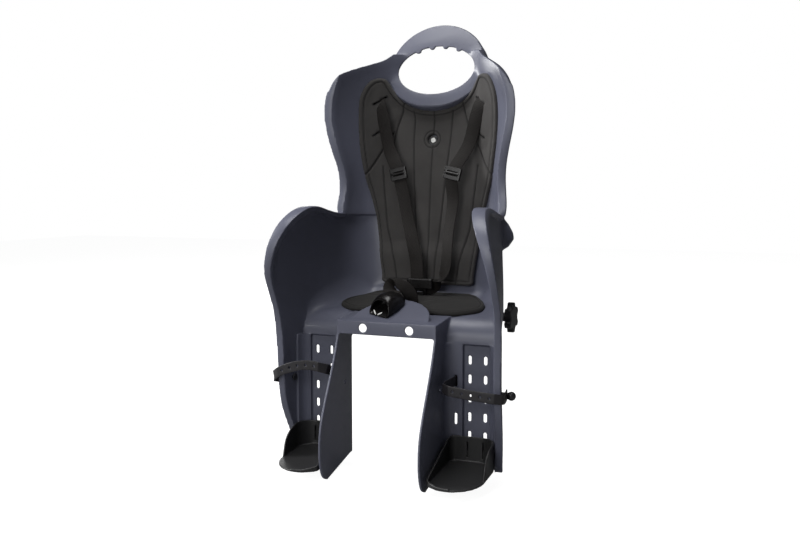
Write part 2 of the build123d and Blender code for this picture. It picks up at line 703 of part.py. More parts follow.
def strap_run(shell, side):
    """Points and width directions of a shoulder strap, drawn on the right-hand side."""
    inner, outer, along, back, up = shoulder_frame(shell)
    bar = (inner + outer) / 2
    turn = ANCHOR_RADIUS + RUNNING_GAP + WEB_THICKNESS / 2
    points = []
    for angle in (60, 20, -20, -60, -90):
        points.append(bar + back * (turn * cos(radians(angle))) + up * (turn * sin(radians(angle))))
    through = 2 * WALL + CREASE_STEP + PAD_THICKNESS + ANCHOR_RADIUS
    points.append(bar - back * through - up * turn)
    end = strap_end(side)
    bend = points[-1] - back * STRAP_CLEAR * 2 - up * STRAP_CLEAR
    down = unit(end - bend)
    points.append(bend)
    points.append(bend + down * STRAP_CLEAR * 3 - back * STRAP_CLEAR)
    points.append((bend + end) / 2)
    points.append(end)
    level = unit(Vector(1, 0, 0) - down * down.X)
    dirs = [along] * 6 + [unit(along * 2 + level), unit(along + level * 2), level, level]
    return points, dirs


def shoulder_strap(shell, side):
    points, dirs = strap_run(shell, side)
    return ribbon(points, dirs, WEB_WIDTH, WEB_THICKNESS)


def strap_adjuster(shell, side):
    """Slider frame round a shoulder strap."""
    points, dirs = strap_run(shell, side)
    before, start = points[-3:-1]
    spot = before + (start - before) * (2 * ADJUSTER_SHARE)
    plane = Plane(spot, x_dir=dirs[-2], z_dir=start - before)
    width, depth, height = ADJUSTER_SIZE
    frame = fillet(Box(width, depth, height).edges().filter_by(Axis.Y), depth / 4)
    slot = Box(WEB_WIDTH + 4 * RUNNING_GAP, WEB_THICKNESS + 4 * RUNNING_GAP, 2 * height)
    window = Box(WEB_WIDTH - depth / 2, 2 * depth, height / 3)
    return plane * (frame - slot - window)


def buckle_tongue():
    """Tongue on the end of both shoulder straps, standing on the seat pad."""
    foot = pan_z(TONGUE_Y) + PAD_GAP * 2 + PAD_THICKNESS
    blade_z = (foot, foot + TONGUE_BLADE)
    head_z = (foot + TONGUE_BLADE, foot + TONGUE_BLADE + TONGUE_HEAD)
    half = TONGUE_WIDTH / 2
    depth = TONGUE_DEPTH / 2
    head = block((-half, half), (TONGUE_Y - depth, TONGUE_Y + depth), head_z)
    head = fillet(head.edges().filter_by(Axis.Z), depth / 2)
    head = fillet(head.faces().sort_by(Axis.Z)[-1].outer_wire().edges(), depth / 4)
    blade = block((-half / 2, half / 2), (TONGUE_Y - WALL / 3, TONGUE_Y + WALL / 3), blade_z)
    blade = fillet(blade.faces().sort_by(Axis.Z)[0].edges().filter_by(Axis.Y), half / 6)
    window = block((-half / 4, half / 4), (TONGUE_Y - WALL, TONGUE_Y + WALL),
                   (foot + TONGUE_BLADE / 4, foot + TONGUE_BLADE * 0.7))
    gap = 2 * WEB_THICKNESS + RUNNING_GAP
    room = block((-half + WALL / 2, half - WALL / 2), (TONGUE_Y - gap, TONGUE_Y + gap),
                 (foot + TONGUE_BLADE + TONGUE_HEAD / 2 - WEB_WIDTH / 6, head_z[1] + 1))
    return head + blade - window - room


def hump_top(y):
    return BAR_TOP + tan(radians(HUMP_SLOPE)) * (y - HUMP_Y)


def socket_plane():
    """Where the buckle socket lies on the hump: x across it, y to the strap, z off the hump."""
    slope = radians(HUMP_SLOPE)
    normal = Vector(0, -sin(slope), cos(slope))
    turn = radians(SOCKET_TURN)
    strap_way = unit(Vector(sin(turn), cos(turn), cos(turn) * tan(slope)))
    spot = Vector(SOCKET_X, SOCKET_Y, hump_top(SOCKET_Y)) + normal * PAD_GAP
    return Plane(spot, x_dir=strap_way.cross(normal), z_dir=normal)


def buckle_socket():
    """Buckle body on the crotch strap: hooded top, open mouth, strap loop at the rear."""
    width, length, height = SOCKET_SIZE
    body = Pos(0, 0, height / 2) * Box(width, length, height)
    body = fillet(body.edges().filter_by(Axis.Z), width / 6)
    body = fillet(body.faces().sort_by(Axis.Z)[-1].outer_wire().edges(), height / 4)
    mouth = Pos(0, -length / 3, height / 2) * Box(width * 0.74, length * 0.8, height * 0.42)
    strap_room = Pos(0, length / 2, height / 2) * Box(WEB_WIDTH + 1, SOCKET_STRAP_DEPTH * 2, height / 3)
    return socket_plane() * (body - mouth - strap_room)


def crotch_strap():
    """Short strap from under the seat pan, over its own loop, to the buckle socket."""
    width, length, height = SOCKET_SIZE
    plane = socket_plane()
    end = plane.from_local_coords(Vector(0, length / 2 - SOCKET_STRAP_DEPTH + RUNNING_GAP, height / 2))
    lead = plane.from_local_coords(Vector(0, length / 2 + WALL, height / 2))
    seat = pan_z(CROTCH_Y)
    slot_side = CROTCH_Y + CROTCH_SLOT_SIZE[1] / 2 - WEB_THICKNESS / 2 - RUNNING_GAP
    bar = Vector(0, slot_side - ANCHOR_RADIUS - RUNNING_GAP - WEB_THICKNESS / 2, crotch_bar_z())
    turn = ANCHOR_RADIUS + RUNNING_GAP + WEB_THICKNESS / 2
    points = []
    for angle in (-150, -110, -70, -30, 0):
        points.append(bar + Vector(0, turn * cos(radians(angle)), turn * sin(radians(angle))))
    top = seat + PAD_THICKNESS
    points.append(Vector(0, slot_side, top))
    points.append(Vector(-2, slot_side + 1, top + CROTCH_LOOP_HEIGHT * 0.5))
    points.append(Vector(-8, slot_side - 3, top + CROTCH_LOOP_HEIGHT * 0.85))
    points.append(Vector(-14, slot_side - 12, top + CROTCH_LOOP_HEIGHT))
    points.append(Vector(-16, slot_side - 23, top + CROTCH_LOOP_HEIGHT * 0.85))
    points.append((points[-1] + lead * 2) / 3)
    points.append(lead)
    points.append(end)
    side = Vector(1, 0, 0)
    dirs = [side] * 8 + [unit(side * 2 + plane.x_dir)] * 2 + [plane.x_dir] * 3
    return ribbon(points, dirs, WEB_WIDTH, WEB_THICKNESS)


def crotch_bar_z():
    return pan_z(CROTCH_Y - CROTCH_SLOT_SIZE[1] / 2) - WALL - ANCHOR_RADIUS - RUNNING_GAP


def crotch_anchor():
    slot_side = CROTCH_Y + CROTCH_SLOT_SIZE[1] / 2 - WEB_THICKNESS / 2 - RUNNING_GAP
    y = slot_side - ANCHOR_RADIUS - RUNNING_GAP - WEB_THICKNESS / 2
    z = crotch_bar_z()
    return rod((-ANCHOR_LENGTH / 2, y, z), (ANCHOR_LENGTH / 2, y, z), ANCHOR_RADIUS)


def footrest():
    """Right-hand footrest tray with the tongue that slides in the leg's recess."""
    back = PAN_FRONT_Y - FOOTREST_CLEAR
    inner = TUNNEL_HALF_WIDTH + FOOTREST_SIDE_GAP
    outer = side_wall_x(PAN_FRONT_Y - OUTER_COVE) - WALL - RIM_BEAD - FOOTREST_CLEAR
    toe = (outer - inner) / 2
    heel_side = (inner, FOOTREST_FRONT_Y + toe * 0.35)
    small_toe = (outer, FOOTREST_FRONT_Y + toe * 1.15)
    rear = Polyline(heel_side, (inner, back), (outer, back), small_toe)
    nose = ThreePointArc(heel_side, (inner + toe * 0.8, FOOTREST_FRONT_Y), small_toe)
    outline = make_face([*rear.edges(), nose])
    outline = fillet(outline.vertices().sort_by_distance((inner, back))[0], INNER_COVE)
    outline = fillet(outline.vertices().sort_by_distance((outer, back))[0], OUTER_COVE * 1.6)
    front = outline.bounding_box().min.Y - 1
    pitch = tan(radians(FOOTREST_PITCH))
    floor = FOOTREST_FLOOR
    front_floor = floor + pitch * (front - back)
    tray = extrude(Pos(0, 0, front_floor) * outline, FOOTREST_TOP - front_floor)
    under = side_face((back + 1, front_floor - 1), (back + 1, floor + pitch), (front - 1, front_floor - pitch),
                      (front - 1, front_floor - 1))
    tray -= across(under, WIDE)
    hollow = extrude(Pos(0, 0, front_floor) * offset(outline, -FOOTREST_WALL), WIDE)
    above = side_face((back + 1, floor + FOOTREST_WALL + pitch), (front - 1, front_floor + FOOTREST_WALL - pitch),
                      (front - 1, WIDE), (back + 1, WIDE))
    tray -= hollow & across(above, WIDE)
    low_front = front_floor + FOOTREST_WALL * 1.2
    inner_cut = side_face((back - FOOTREST_WALL, FOOTREST_TOP), (front - 1, low_front), (front - 1, WIDE),
                          (back - FOOTREST_WALL, WIDE))
    middle = (inner + outer) / 2
    tray -= across(inner_cut, WIDE) & across(above, WIDE) & block((-WIDE, middle), (-WIDE, WIDE), (-WIDE, WIDE))
    rise = FOOTREST_TOP - floor
    side_top = [(back - FOOTREST_WALL, FOOTREST_TOP), (back - 40, FOOTREST_TOP - rise * 0.1),
                (back - 66, FOOTREST_TOP - rise * 0.45), (back - 78, low_front + 3), (front - 1, low_front)]
    outer_cut = side_face(side_top, (front - 1, WIDE), (back - FOOTREST_WALL, WIDE))
    tray -= across(outer_cut, WIDE) & across(above, WIDE) & block((middle, WIDE), (-WIDE, WIDE), (-WIDE, WIDE))
    half = RECESS_WIDTH / 2 - FOOTREST_CLEAR / 2
    tongue = block((RECESS_CENTRE_X - half, RECESS_CENTRE_X + half),
                   (back - FOOTREST_WALL / 2, PAN_FRONT_Y + RECESS_DEPTH - FOOTREST_CLEAR / 2),
                   (floor + FOOTREST_WALL, FOOTREST_TOP - FOOTREST_WALL))
    slits = []
    for side in (-1, 1):
        x = RECESS_CENTRE_X + side * SLOT_SPACING / 2
        slits.append(block((x - LATCH_SLIT / 2, x + LATCH_SLIT / 2), (back - WALL, back + WALL * 3),
                           (floor + 3 * FOOTREST_WALL, FOOTREST_TOP - 3 * FOOTREST_WALL)))
    return tray + tongue - slits


def foot_strap(arch):
    """Right-hand rubber foot strap: from its slot round the rim to the stud, bowed up by arch."""
    wall = side_wall_x(STUD_Y)
    rim_y = LEG_RIM[3][0]
    rim_x = side_wall_x(rim_y) + LIP_OUT
    clear = FOOT_STRAP_CLEAR + FOOT_STRAP_THICKNESS / 2
    inner = TUNNEL_HALF_WIDTH + INNER_COVE
    ahead = rim_y - clear - LIP_OUT
    drop = STUD_Z - FOOT_STRAP_Z
    plan = [
        (FOOT_STRAP_X, PAN_FRONT_Y + 3 * WALL + STOP_LENGTH, 0),
        (FOOT_STRAP_X, PAN_FRONT_Y - INNER_COVE, 0),
        (inner, rim_y + 14, 0.1),
        (inner + 2, ahead + 10, 0.2),
        (inner + 14, ahead + 1, 0.3),
        (RECESS_CENTRE_X + 14, ahead - 1, 0.6),
        (rim_x - 8, ahead, 0.85),
        (rim_x + clear, ahead + 5, 0.92),
        (rim_x + clear + 2, rim_y, 0.96),
        (rim_x + clear, rim_y + 16, 1),
        (rim_x, STUD_Y, 1),
        (rim_x - 3, STUD_Y + FOOT_STRAP_WIDTH * 0.7, 1),
    ]
    points = [Vector(x, y, FOOT_STRAP_Z + drop * share + 4 * arch * share * (1 - share)) for x, y, share in plan]
    band = ribbon(points, [Vector(0, 0, 1)] * len(points), FOOT_STRAP_WIDTH, FOOT_STRAP_THICKNESS)
    half = FOOT_STRAP_WIDTH / 2
    start_y = PAN_FRONT_Y + WALL + RUNNING_GAP
    stop = block((FOOT_STRAP_X - STOP_BLOCK / 2, FOOT_STRAP_X + STOP_BLOCK / 2), (start_y, start_y + STOP_LENGTH),
                 (FOOT_STRAP_Z - half - WALL, FOOT_STRAP_Z + half + WALL))
    holes = [rod((wall, STUD_Y, STUD_Z), (WIDE, STUD_Y, STUD_Z), STUD_COLLAR + RUNNING_GAP)]
    inner_end, middle, outer_end = points[4:7]
    for step in range(FOOT_STRAP_HOLES):
        share = (step + 0.5) / FOOT_STRAP_HOLES
        spot = inner_end + (middle - inner_end) * min(2 * share, 1) + (outer_end - middle) * max(2 * share - 1, 0)
        holes.append(rod((spot.X, ahead - half, spot.Z), (spot.X, ahead + half, spot.Z), FOOT_STRAP_HOLE))
    tail = block((0, WIDE), (start_y + STOP_LENGTH, WIDE), (-WIDE, 0))
    return band + stop - holes - tail


def foot_strap_stud():
    """Right-hand stud that the foot strap buttons on to."""
    wall = side_wall_x(STUD_Y)
    collar_x = side_wall_x(LEG_RIM[3][0]) + LIP_OUT + FOOT_STRAP_THICKNESS + FOOT_STRAP_CLEAR
    inside = wall - WALL - STUD_SEAT
    outside = wall + STUD_SEAT
    shank = rod((inside - 2, STUD_Y, STUD_Z), (collar_x, STUD_Y, STUD_Z), STUD_SHANK)
    flange = rod((inside - 2, STUD_Y, STUD_Z), (inside, STUD_Y, STUD_Z), STUD_COLLAR + 1)
    collar = rod((outside, STUD_Y, STUD_Z), (collar_x, STUD_Y, STUD_Z), STUD_COLLAR)
    ball = Pos(collar_x + STUD_BALL * 0.6, STUD_Y, STUD_Z) * Sphere(STUD_BALL)
    return shank + flange + collar + ball


def clamp_bridge():
    """Block under the seat pan that rests on the carrier's tubes."""
    profile = side_face(
        (BRIDGE_FRONT_Y, 0),
        (BRIDGE_BACK_Y, 0),
        (BRIDGE_BACK_Y, pan_z(BRIDGE_BACK_Y) - WALL),
        (BRIDGE_FRONT_Y, pan_z(BRIDGE_FRONT_Y) - WALL),
    )
    pocket = side_face(
        (BRIDGE_FRONT_Y + BRIDGE_WALL, -1),
        (BRIDGE_BACK_Y - BRIDGE_WALL, -1),
        (BRIDGE_BACK_Y - BRIDGE_WALL, pan_z(BRIDGE_BACK_Y - BRIDGE_WALL) - WALL - BRIDGE_WALL),
        (BRIDGE_FRONT_Y + BRIDGE_WALL, pan_z(BRIDGE_FRONT_Y + BRIDGE_WALL) - WALL - BRIDGE_WALL),
    )
    width = BRIDGE_HALF_WIDTH - BRIDGE_WALL - BRIDGE_WEB / 2
    centre = BRIDGE_WEB / 2 + width / 2
    hollow = Pos(centre, 0, 0) * across(pocket, width / 2)
    axle = rod((-WIDE, CLAMP_Y, CLAMP_Z), (WIDE, CLAMP_Y, CLAMP_Z), SCREW_RADIUS + RUNNING_GAP)
    holes = on_bolts(-4 * WALL, WALL, Circle(BOLT_RADIUS + RUNNING_GAP))
    return across(profile, BRIDGE_HALF_WIDTH) - [hollow, mirrored(hollow), axle, *holes]


def jaw_x():
    """Inner and outer face of the right-hand jaw plate."""
    inner = BRIDGE_HALF_WIDTH + JAW_GAP
    return inner, inner + JAW_THICKNESS


def clamp_jaw():
    """Right-hand jaw that hooks under a carrier tube."""
    inner, outer = jaw_x()
    low = -2 * CARRIER_TUBE_RADIUS - JAW_GRIP
    half = JAW_LENGTH / 2
    y = (CLAMP_Y - half, CLAMP_Y + half)
    plate = block((inner, outer), y, (low - JAW_HOOK, JAW_TOP))
    plate = fillet(plate.edges().filter_by(Axis.X), JAW_THICKNESS)
    hook = block((CARRIER_TRACK / 2 - JAW_GRIP, inner + 1), (y[0] + JAW_THICKNESS, y[1] - JAW_THICKNESS),
                 (low - JAW_HOOK, low))
    bore = rod((inner - 1, CLAMP_Y, CLAMP_Z), (outer + 1, CLAMP_Y, CLAMP_Z), SCREW_RADIUS + RUNNING_GAP)
    return plate + hook - bore


def clamp_screw():
    return rod((SCREW_TIP_X, CLAMP_Y, CLAMP_Z), (KNOB_INNER_X + KNOB_THICKNESS / 2, CLAMP_Y, CLAMP_Z), SCREW_RADIUS)


def clamp_knob():
    """Right-hand star knob with the sleeve that presses on the jaw."""
    start = jaw_x()[1] + RUNNING_GAP
    sleeve = rod((start, CLAMP_Y, CLAMP_Z), (KNOB_INNER_X + 1, CLAMP_Y, CLAMP_Z), SLEEVE_RADIUS)
    star = Circle(KNOB_RADIUS) - PolarLocations(KNOB_RADIUS * 1.12, KNOB_LOBES) * Circle(KNOB_RADIUS * 0.36)
    star = fillet(star.vertices(), KNOB_RADIUS / 9)
    head = extrude(star, KNOB_THICKNESS)
    head = fillet(head.faces().sort_by(Axis.Z)[-1].edges(), KNOB_THICKNESS / 6)
    plane = Plane((KNOB_INNER_X, CLAMP_Y, CLAMP_Z), x_dir=(0, 1, 0), z_dir=(1, 0, 0))
    bore = rod((start - 1, CLAMP_Y, CLAMP_Z), (KNOB_INNER_X + KNOB_THICKNESS / 2, CLAMP_Y, CLAMP_Z), SCREW_RADIUS)
    return sleeve + plane * head - bore


def hexagon(flats):
    return RegularPolygon(flats / 2, 6, major_radius=False)


def clamp_nut():
    """Nut in the bridge that the right-hand clamp screw turns in."""
    plane = Plane((BRIDGE_WEB / 2, CLAMP_Y, CLAMP_Z), x_dir=(0, 1, 0), z_dir=(1, 0, 0))
    return extrude(plane * (hexagon(NUT_FLATS) - Circle(SCREW_RADIUS + RUNNING_GAP)), NUT_HEIGHT)


def bridge_fasteners():
    """Bolts, washers and nuts between the seat pan and the clamp bridge."""
    under = -WALL * sqrt(1 + PAN_RISE**2) / (1 + PAN_RISE**2) - BRIDGE_WALL / sqrt(1 + PAN_RISE**2)
    washer_low = under - WASHER_HEIGHT
    nut_low = washer_low - BOLT_NUT_HEIGHT
    end = nut_low - BOLT_RADIUS / 2
    ring = Circle(WASHER_RADIUS) - Circle(BOLT_RADIUS + RUNNING_GAP)
    heads = on_bolts(0, BOLT_HEAD_HEIGHT, Circle(BOLT_HEAD_RADIUS) - hexagon(BOLT_RADIUS * 4 / 3))
    shanks = on_bolts(end, BOLT_HEAD_HEIGHT / 3, Circle(BOLT_RADIUS))
    bolts = [head + shank for head, shank in zip(heads, shanks)]
    washers = on_bolts(washer_low, under, ring)
    nuts = on_bolts(nut_low, washer_low, hexagon(BOLT_NUT_FLATS) - Circle(BOLT_RADIUS + RUNNING_GAP / 3))
    return bolts, washers, nuts


def build():
    """Every piece of the seat, by name."""
    shell = seat_shell()
    bolts, washers, nuts = bridge_fasteners()
    pieces = {
        "seat_shell": shell,
        "back_pad": back_pad(),
        "seat_pad": seat_pad(),
        "pad_rivet": pad_rivet(),
        "buckle_tongue": buckle_tongue(),
        "buckle_socket": buckle_socket(),
        "crotch_strap": crotch_strap(),
        "crotch_anchor": crotch_anchor(),
        "clamp_bridge": clamp_bridge(),
        "bridge_bolts": Compound(bolts),
        "bridge_washers": Compound(washers),
        "bridge_nuts": Compound(nuts),
        "clamp_nuts": Compound([clamp_nut(), mirrored(clamp_nut())]),
    }
    right = {
        "shoulder_strap": shoulder_strap(shell, 1),
        "strap_adjuster": strap_adjuster(shell, 1),
        "strap_anchor": strap_anchor(shell),
        "footrest": footrest(),
        "foot_strap": foot_strap(0),
        "foot_strap_stud": foot_strap_stud(),
        "clamp_jaw": clamp_jaw(),
        "clamp_screw": clamp_screw(),
        "clamp_knob": clamp_knob(),
    }
    for name, piece in right.items():
        pieces[name + "_right"] = piece
        pieces[name + "_left"] = mirrored(piece)
    pieces["shoulder_strap_left"] = mirrored(shoulder_strap(shell, -1))
    pieces["strap_adjuster_left"] = mirrored(strap_adjuster(shell, -1))
    pieces["foot_strap_left"] = mirrored(foot_strap(LEFT_STRAP_ARCH))
    return pieces


os.makedirs("parts", exist_ok=True)
for name, piece in build().items():
    export_step(piece, f"parts/{name}.step")
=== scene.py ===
"""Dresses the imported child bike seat: moulded shell, sewn pads, webbing, buckle, footrests and studio."""
import math

import bmesh
import bpy
import numpy as np
from mathutils import Euler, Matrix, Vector
from mathutils.bvhtree import BVHTree


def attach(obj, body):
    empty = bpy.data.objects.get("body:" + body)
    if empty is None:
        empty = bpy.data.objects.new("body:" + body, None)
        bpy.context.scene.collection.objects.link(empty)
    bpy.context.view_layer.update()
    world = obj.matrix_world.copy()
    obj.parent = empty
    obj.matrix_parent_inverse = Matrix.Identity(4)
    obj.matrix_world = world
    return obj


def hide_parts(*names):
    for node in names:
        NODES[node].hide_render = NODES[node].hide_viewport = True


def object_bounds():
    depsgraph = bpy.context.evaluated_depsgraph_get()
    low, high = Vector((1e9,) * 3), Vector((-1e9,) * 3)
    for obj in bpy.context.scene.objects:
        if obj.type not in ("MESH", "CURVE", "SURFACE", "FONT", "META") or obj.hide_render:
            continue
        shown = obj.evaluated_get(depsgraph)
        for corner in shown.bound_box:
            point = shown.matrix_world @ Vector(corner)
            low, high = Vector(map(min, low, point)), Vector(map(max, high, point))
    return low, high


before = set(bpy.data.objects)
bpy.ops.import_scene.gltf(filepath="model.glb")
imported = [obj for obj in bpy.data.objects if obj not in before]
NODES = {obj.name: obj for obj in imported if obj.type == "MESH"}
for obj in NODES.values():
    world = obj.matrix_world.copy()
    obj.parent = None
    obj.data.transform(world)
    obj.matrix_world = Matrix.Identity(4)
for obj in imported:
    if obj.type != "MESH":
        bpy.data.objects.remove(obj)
CAD_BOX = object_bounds()
MM = 0.001
SIDES = ("left", "right")
# Smoothing steps that keep the size, the turn between facets that shading takes for smooth, and its rounds
KEEP_SIZE = (0.5, -0.53)
FACET_TURN = 0.02
FACET_ROUNDS = 6
# Points of a CAD mesh that are one, and the reach that keeps a shading weight finite, in mm
WELD = 0.002
SHADE_REACH = 0.02


# Mesh tools

def points_of(mesh):
    flat = np.empty(len(mesh.vertices) * 3)
    mesh.vertices.foreach_get("co", flat)
    return flat.reshape(-1, 3)


def set_points(mesh, points):
    mesh.vertices.foreach_set("co", np.asarray(points, dtype=np.float32).ravel())
    mesh.update()


def new_piece(name, mesh):
    piece = bpy.data.objects.new(name, mesh)
    bpy.context.scene.collection.objects.link(piece)
    return piece


def mesh_from(name, points, faces):
    mesh = bpy.data.meshes.new(name)
    mesh.from_pydata([tuple(p) for p in points], [], [tuple(int(i) for i in f) for f in faces])
    mesh.update()
    return mesh


def baked(piece):
    """Gives a piece the mesh that its modifiers make, and removes them."""
    graph = bpy.context.evaluated_depsgraph_get()
    mesh = bpy.data.meshes.new_from_object(piece.evaluated_get(graph))
    piece.modifiers.clear()
    old = piece.data
    piece.data = mesh
    bpy.data.meshes.remove(old)
    return mesh


def neighbours(mesh):
    flat = np.empty(len(mesh.edges) * 2, dtype=np.int64)
    mesh.edges.foreach_get("vertices", flat)
    return flat.reshape(-1, 2)


def relax(points, edges, rounds, shares=(0.5,), weight=None):
    """Smooths points along their edges; a negative second share keeps the size."""
    count = len(points)
    one, two = edges[:, 0], edges[:, 1]
    degree = np.maximum(np.bincount(one, minlength=count) + np.bincount(two, minlength=count), 1)
    for step in range(rounds * len(shares)):
        mean = np.empty_like(points)
        for axis in range(3):
            values = points[:, axis]
            total = np.bincount(one, values[two], count) + np.bincount(two, values[one], count)
            mean[:, axis] = total / degree
        move = (mean - points) * shares[step % len(shares)]
        points = points + (move if weight is None else move * weight[:, None])
    return points


def evened(normals, edges, rounds):
    """Averages neighbouring normals that are nearly alike, so that facets go and true edges stay."""
    count = len(normals)
    one, two = edges[:, 0], edges[:, 1]
    for _ in range(rounds):
        alike = np.exp((np.einsum("ij,ij->i", normals[one], normals[two]) - 1) / FACET_TURN)
        total = normals.copy()
        for axis in range(3):
            total[:, axis] += np.bincount(one, alike * normals[two, axis], count)
            total[:, axis] += np.bincount(two, alike * normals[one, axis], count)
        normals = total / np.linalg.norm(total, axis=1)[:, None]
    return normals


def merged_copy(node):
    """A welded copy of a CAD node's loose triangles."""
    shape = bmesh.new()
    shape.from_mesh(NODES[node].data)
    bmesh.ops.remove_doubles(shape, verts=shape.verts, dist=WELD * MM)
    mesh = bpy.data.meshes.new(node)
    shape.to_mesh(mesh)
    shape.free()
    return mesh


def finish_piece(piece, node, body, material):
    piece.data.materials.append(material)
    piece.data.shade_smooth()
    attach(piece, body)
    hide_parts(node)


def joined(mesh, extra):
    """Adds loose closed forms to a mesh."""
    shape = bmesh.new()
    shape.from_mesh(mesh)
    for points, faces in extra:
        shape.from_mesh(mesh_from("extra", points, faces))
    shape.to_mesh(mesh)
    shape.free()


def moulded(node, body, material, voxel, rounds, triangles, even=FACET_ROUNDS, local=None, extra=(),
            bend=None):
    """A CAD solid as it leaves a mould: remeshed, its edges eased, its faces thinned out again."""
    piece = new_piece(node + "_moulded", merged_copy(node))
    joined(piece.data, extra)
    remesh = piece.modifiers.new("remesh", "REMESH")
    remesh.mode = "VOXEL"
    remesh.voxel_size = voxel * MM
    mesh = baked(piece)
    edges = neighbours(mesh)
    points = relax(points_of(mesh), edges, rounds, KEEP_SIZE)
    if local is not None:
        more, weight = local
        points = relax(points, edges, more, weight=weight(points / MM))
    if bend is not None:
        points = bend(points / MM) * MM
    set_points(mesh, points)
    normals = np.empty(len(mesh.vertices) * 3)
    mesh.vertices.foreach_get("normal", normals)
    normals = evened(normals.reshape(-1, 3), edges, even)
    corners = [tuple(p.vertices) for p in mesh.polygons]
    dense = BVHTree.FromPolygons(points.tolist(), corners)
    faces = sum(len(c) - 2 for c in corners)
    if faces > triangles:
        thin = piece.modifiers.new("thin", "DECIMATE")
        thin.ratio = triangles / faces
        mesh = baked(piece)
    shading = []
    for vertex in mesh.vertices:
        spot, _, index, _ = dense.find_nearest(vertex.co)
        ring = list(corners[index])
        near = 1 / (np.linalg.norm(points[ring] - np.array(spot), axis=1) + SHADE_REACH * MM)
        shading.append(Vector((normals[ring] * near[:, None]).sum(axis=0)).normalized())
    finish_piece(piece, node, body, material)
    mesh.normals_split_custom_set_from_vertices(shading)


def spline(points, per):
    """Catmull-Rom curve through points, per steps between neighbours."""
    points = np.asarray(points, dtype=float)
    padded = np.vstack([2 * points[0] - points[1], points, 2 * points[-1] - points[-2]])
    made = []
    for i in range(1, len(padded) - 2):
        a, b, c, d = padded[i - 1:i + 3]
        for t in np.arange(per) / per:
            made.append(0.5 * (2 * b + (c - a) * t + (2 * a - 5 * b + 4 * c - d) * t ** 2
                               + (3 * b - a - 3 * c + d) * t ** 3))
    made.append(points[-1])
    return np.array(made)


def unit(v):
    return v / np.linalg.norm(v)


# Materials

def node_tree(material):
    material.use_nodes = True
    return material.node_tree


def link(tree, a, out, b, into):
    tree.links.new(a.outputs[out], b.inputs[into])


def tinted(colour, share=1):
    return (*[c * share for c in colour], 1)


def wave_scale(period):
    """Scale of a wave texture that repeats after a period in mm."""
    return 1 / (period * MM) / math.pi / 2


def grain_group():
    """Fine moulded grain: a normal from two sizes of noise, and a mottle value."""
    tree = bpy.data.node_groups.new("moulded grain", "ShaderNodeTree")
    tree.interface.new_socket("Scale", in_out="INPUT", socket_type="NodeSocketFloat")
    tree.interface.new_socket("Height", in_out="INPUT", socket_type="NodeSocketFloat")
    tree.interface.new_socket("Normal", in_out="OUTPUT", socket_type="NodeSocketVector")
    tree.interface.new_socket("Mottle", in_out="OUTPUT", socket_type="NodeSocketFloat")
    start = tree.nodes.new("NodeGroupInput")
    end = tree.nodes.new("NodeGroupOutput")
    place = tree.nodes.new("ShaderNodeTexCoord")
    noise = tree.nodes.new("ShaderNodeTexNoise")
    noise.inputs["Detail"].default_value = 3.0
    wide = tree.nodes.new("ShaderNodeTexNoise")
    wide.inputs["Scale"].default_value = 14.0
    wide.inputs["Detail"].default_value = 4.0
    bump = tree.nodes.new("ShaderNodeBump")
    bump.inputs["Distance"].default_value = 0.1 * MM
    link(tree, place, "Object", noise, "Vector")
    link(tree, place, "Object", wide, "Vector")
    link(tree, start, "Scale", noise, "Scale")
    link(tree, start, "Height", bump, "Strength")
    link(tree, noise, 0, bump, "Height")
    link(tree, bump, "Normal", end, "Normal")
    link(tree, wide, 0, end, "Mottle")
    return tree


GRAIN = grain_group()
# Shares by which a plastic's tone and roughness change, least and greatest share of a fabric's and the
# webbing's tone and of a metal's roughness, and the tone of the painted shade in a pad's seams and around its
# holes
MOTTLE = 0.08
ROUGH_SPREAD = 0.1
FABRIC_TONES = (0.8, 1.2)
WEB_TONES = (0.6, 1.3)
METAL_ROUGH = (0.7, 1.4)
SEAM_SHADE_TONE = 0.25
# The back pad's rivet: height and bright radius in mm, roughness, and the tone of its washer
RIVET_HEIGHT = 329
RIVET_RADIUS = 4.6
RIVET_ROUGH = 0.4
WASHER_TONE = (0.01, 0.01, 0.01, 1)


def plastic(name, colour, roughness, scale, height, specular=0.5):
    material = bpy.data.materials.new(name)
    tree = node_tree(material)
    shader = tree.nodes["Principled BSDF"]
    shader.inputs["Specular IOR Level"].default_value = specular
    grain = tree.nodes.new("ShaderNodeGroup")
    grain.node_tree = GRAIN
    grain.inputs["Scale"].default_value = scale
    grain.inputs["Height"].default_value = height
    ramp = tree.nodes.new("ShaderNodeMix")
    ramp.data_type = "RGBA"
    ramp.inputs["A"].default_value = tinted(colour, 1 - MOTTLE)
    ramp.inputs["B"].default_value = tinted(colour, 1 + MOTTLE)
    rough = tree.nodes.new("ShaderNodeMapRange")
    rough.inputs["To Min"].default_value = roughness * (1 - ROUGH_SPREAD)
    rough.inputs["To Max"].default_value = roughness * (1 + ROUGH_SPREAD)
    link(tree, grain, "Mottle", ramp, "Factor")
    link(tree, grain, "Mottle", rough, "Value")
    tree.links.new(ramp.outputs["Result"], shader.inputs["Base Color"])
    link(tree, rough, "Result", shader, "Roughness")
    link(tree, grain, "Normal", shader, "Normal")
    return material


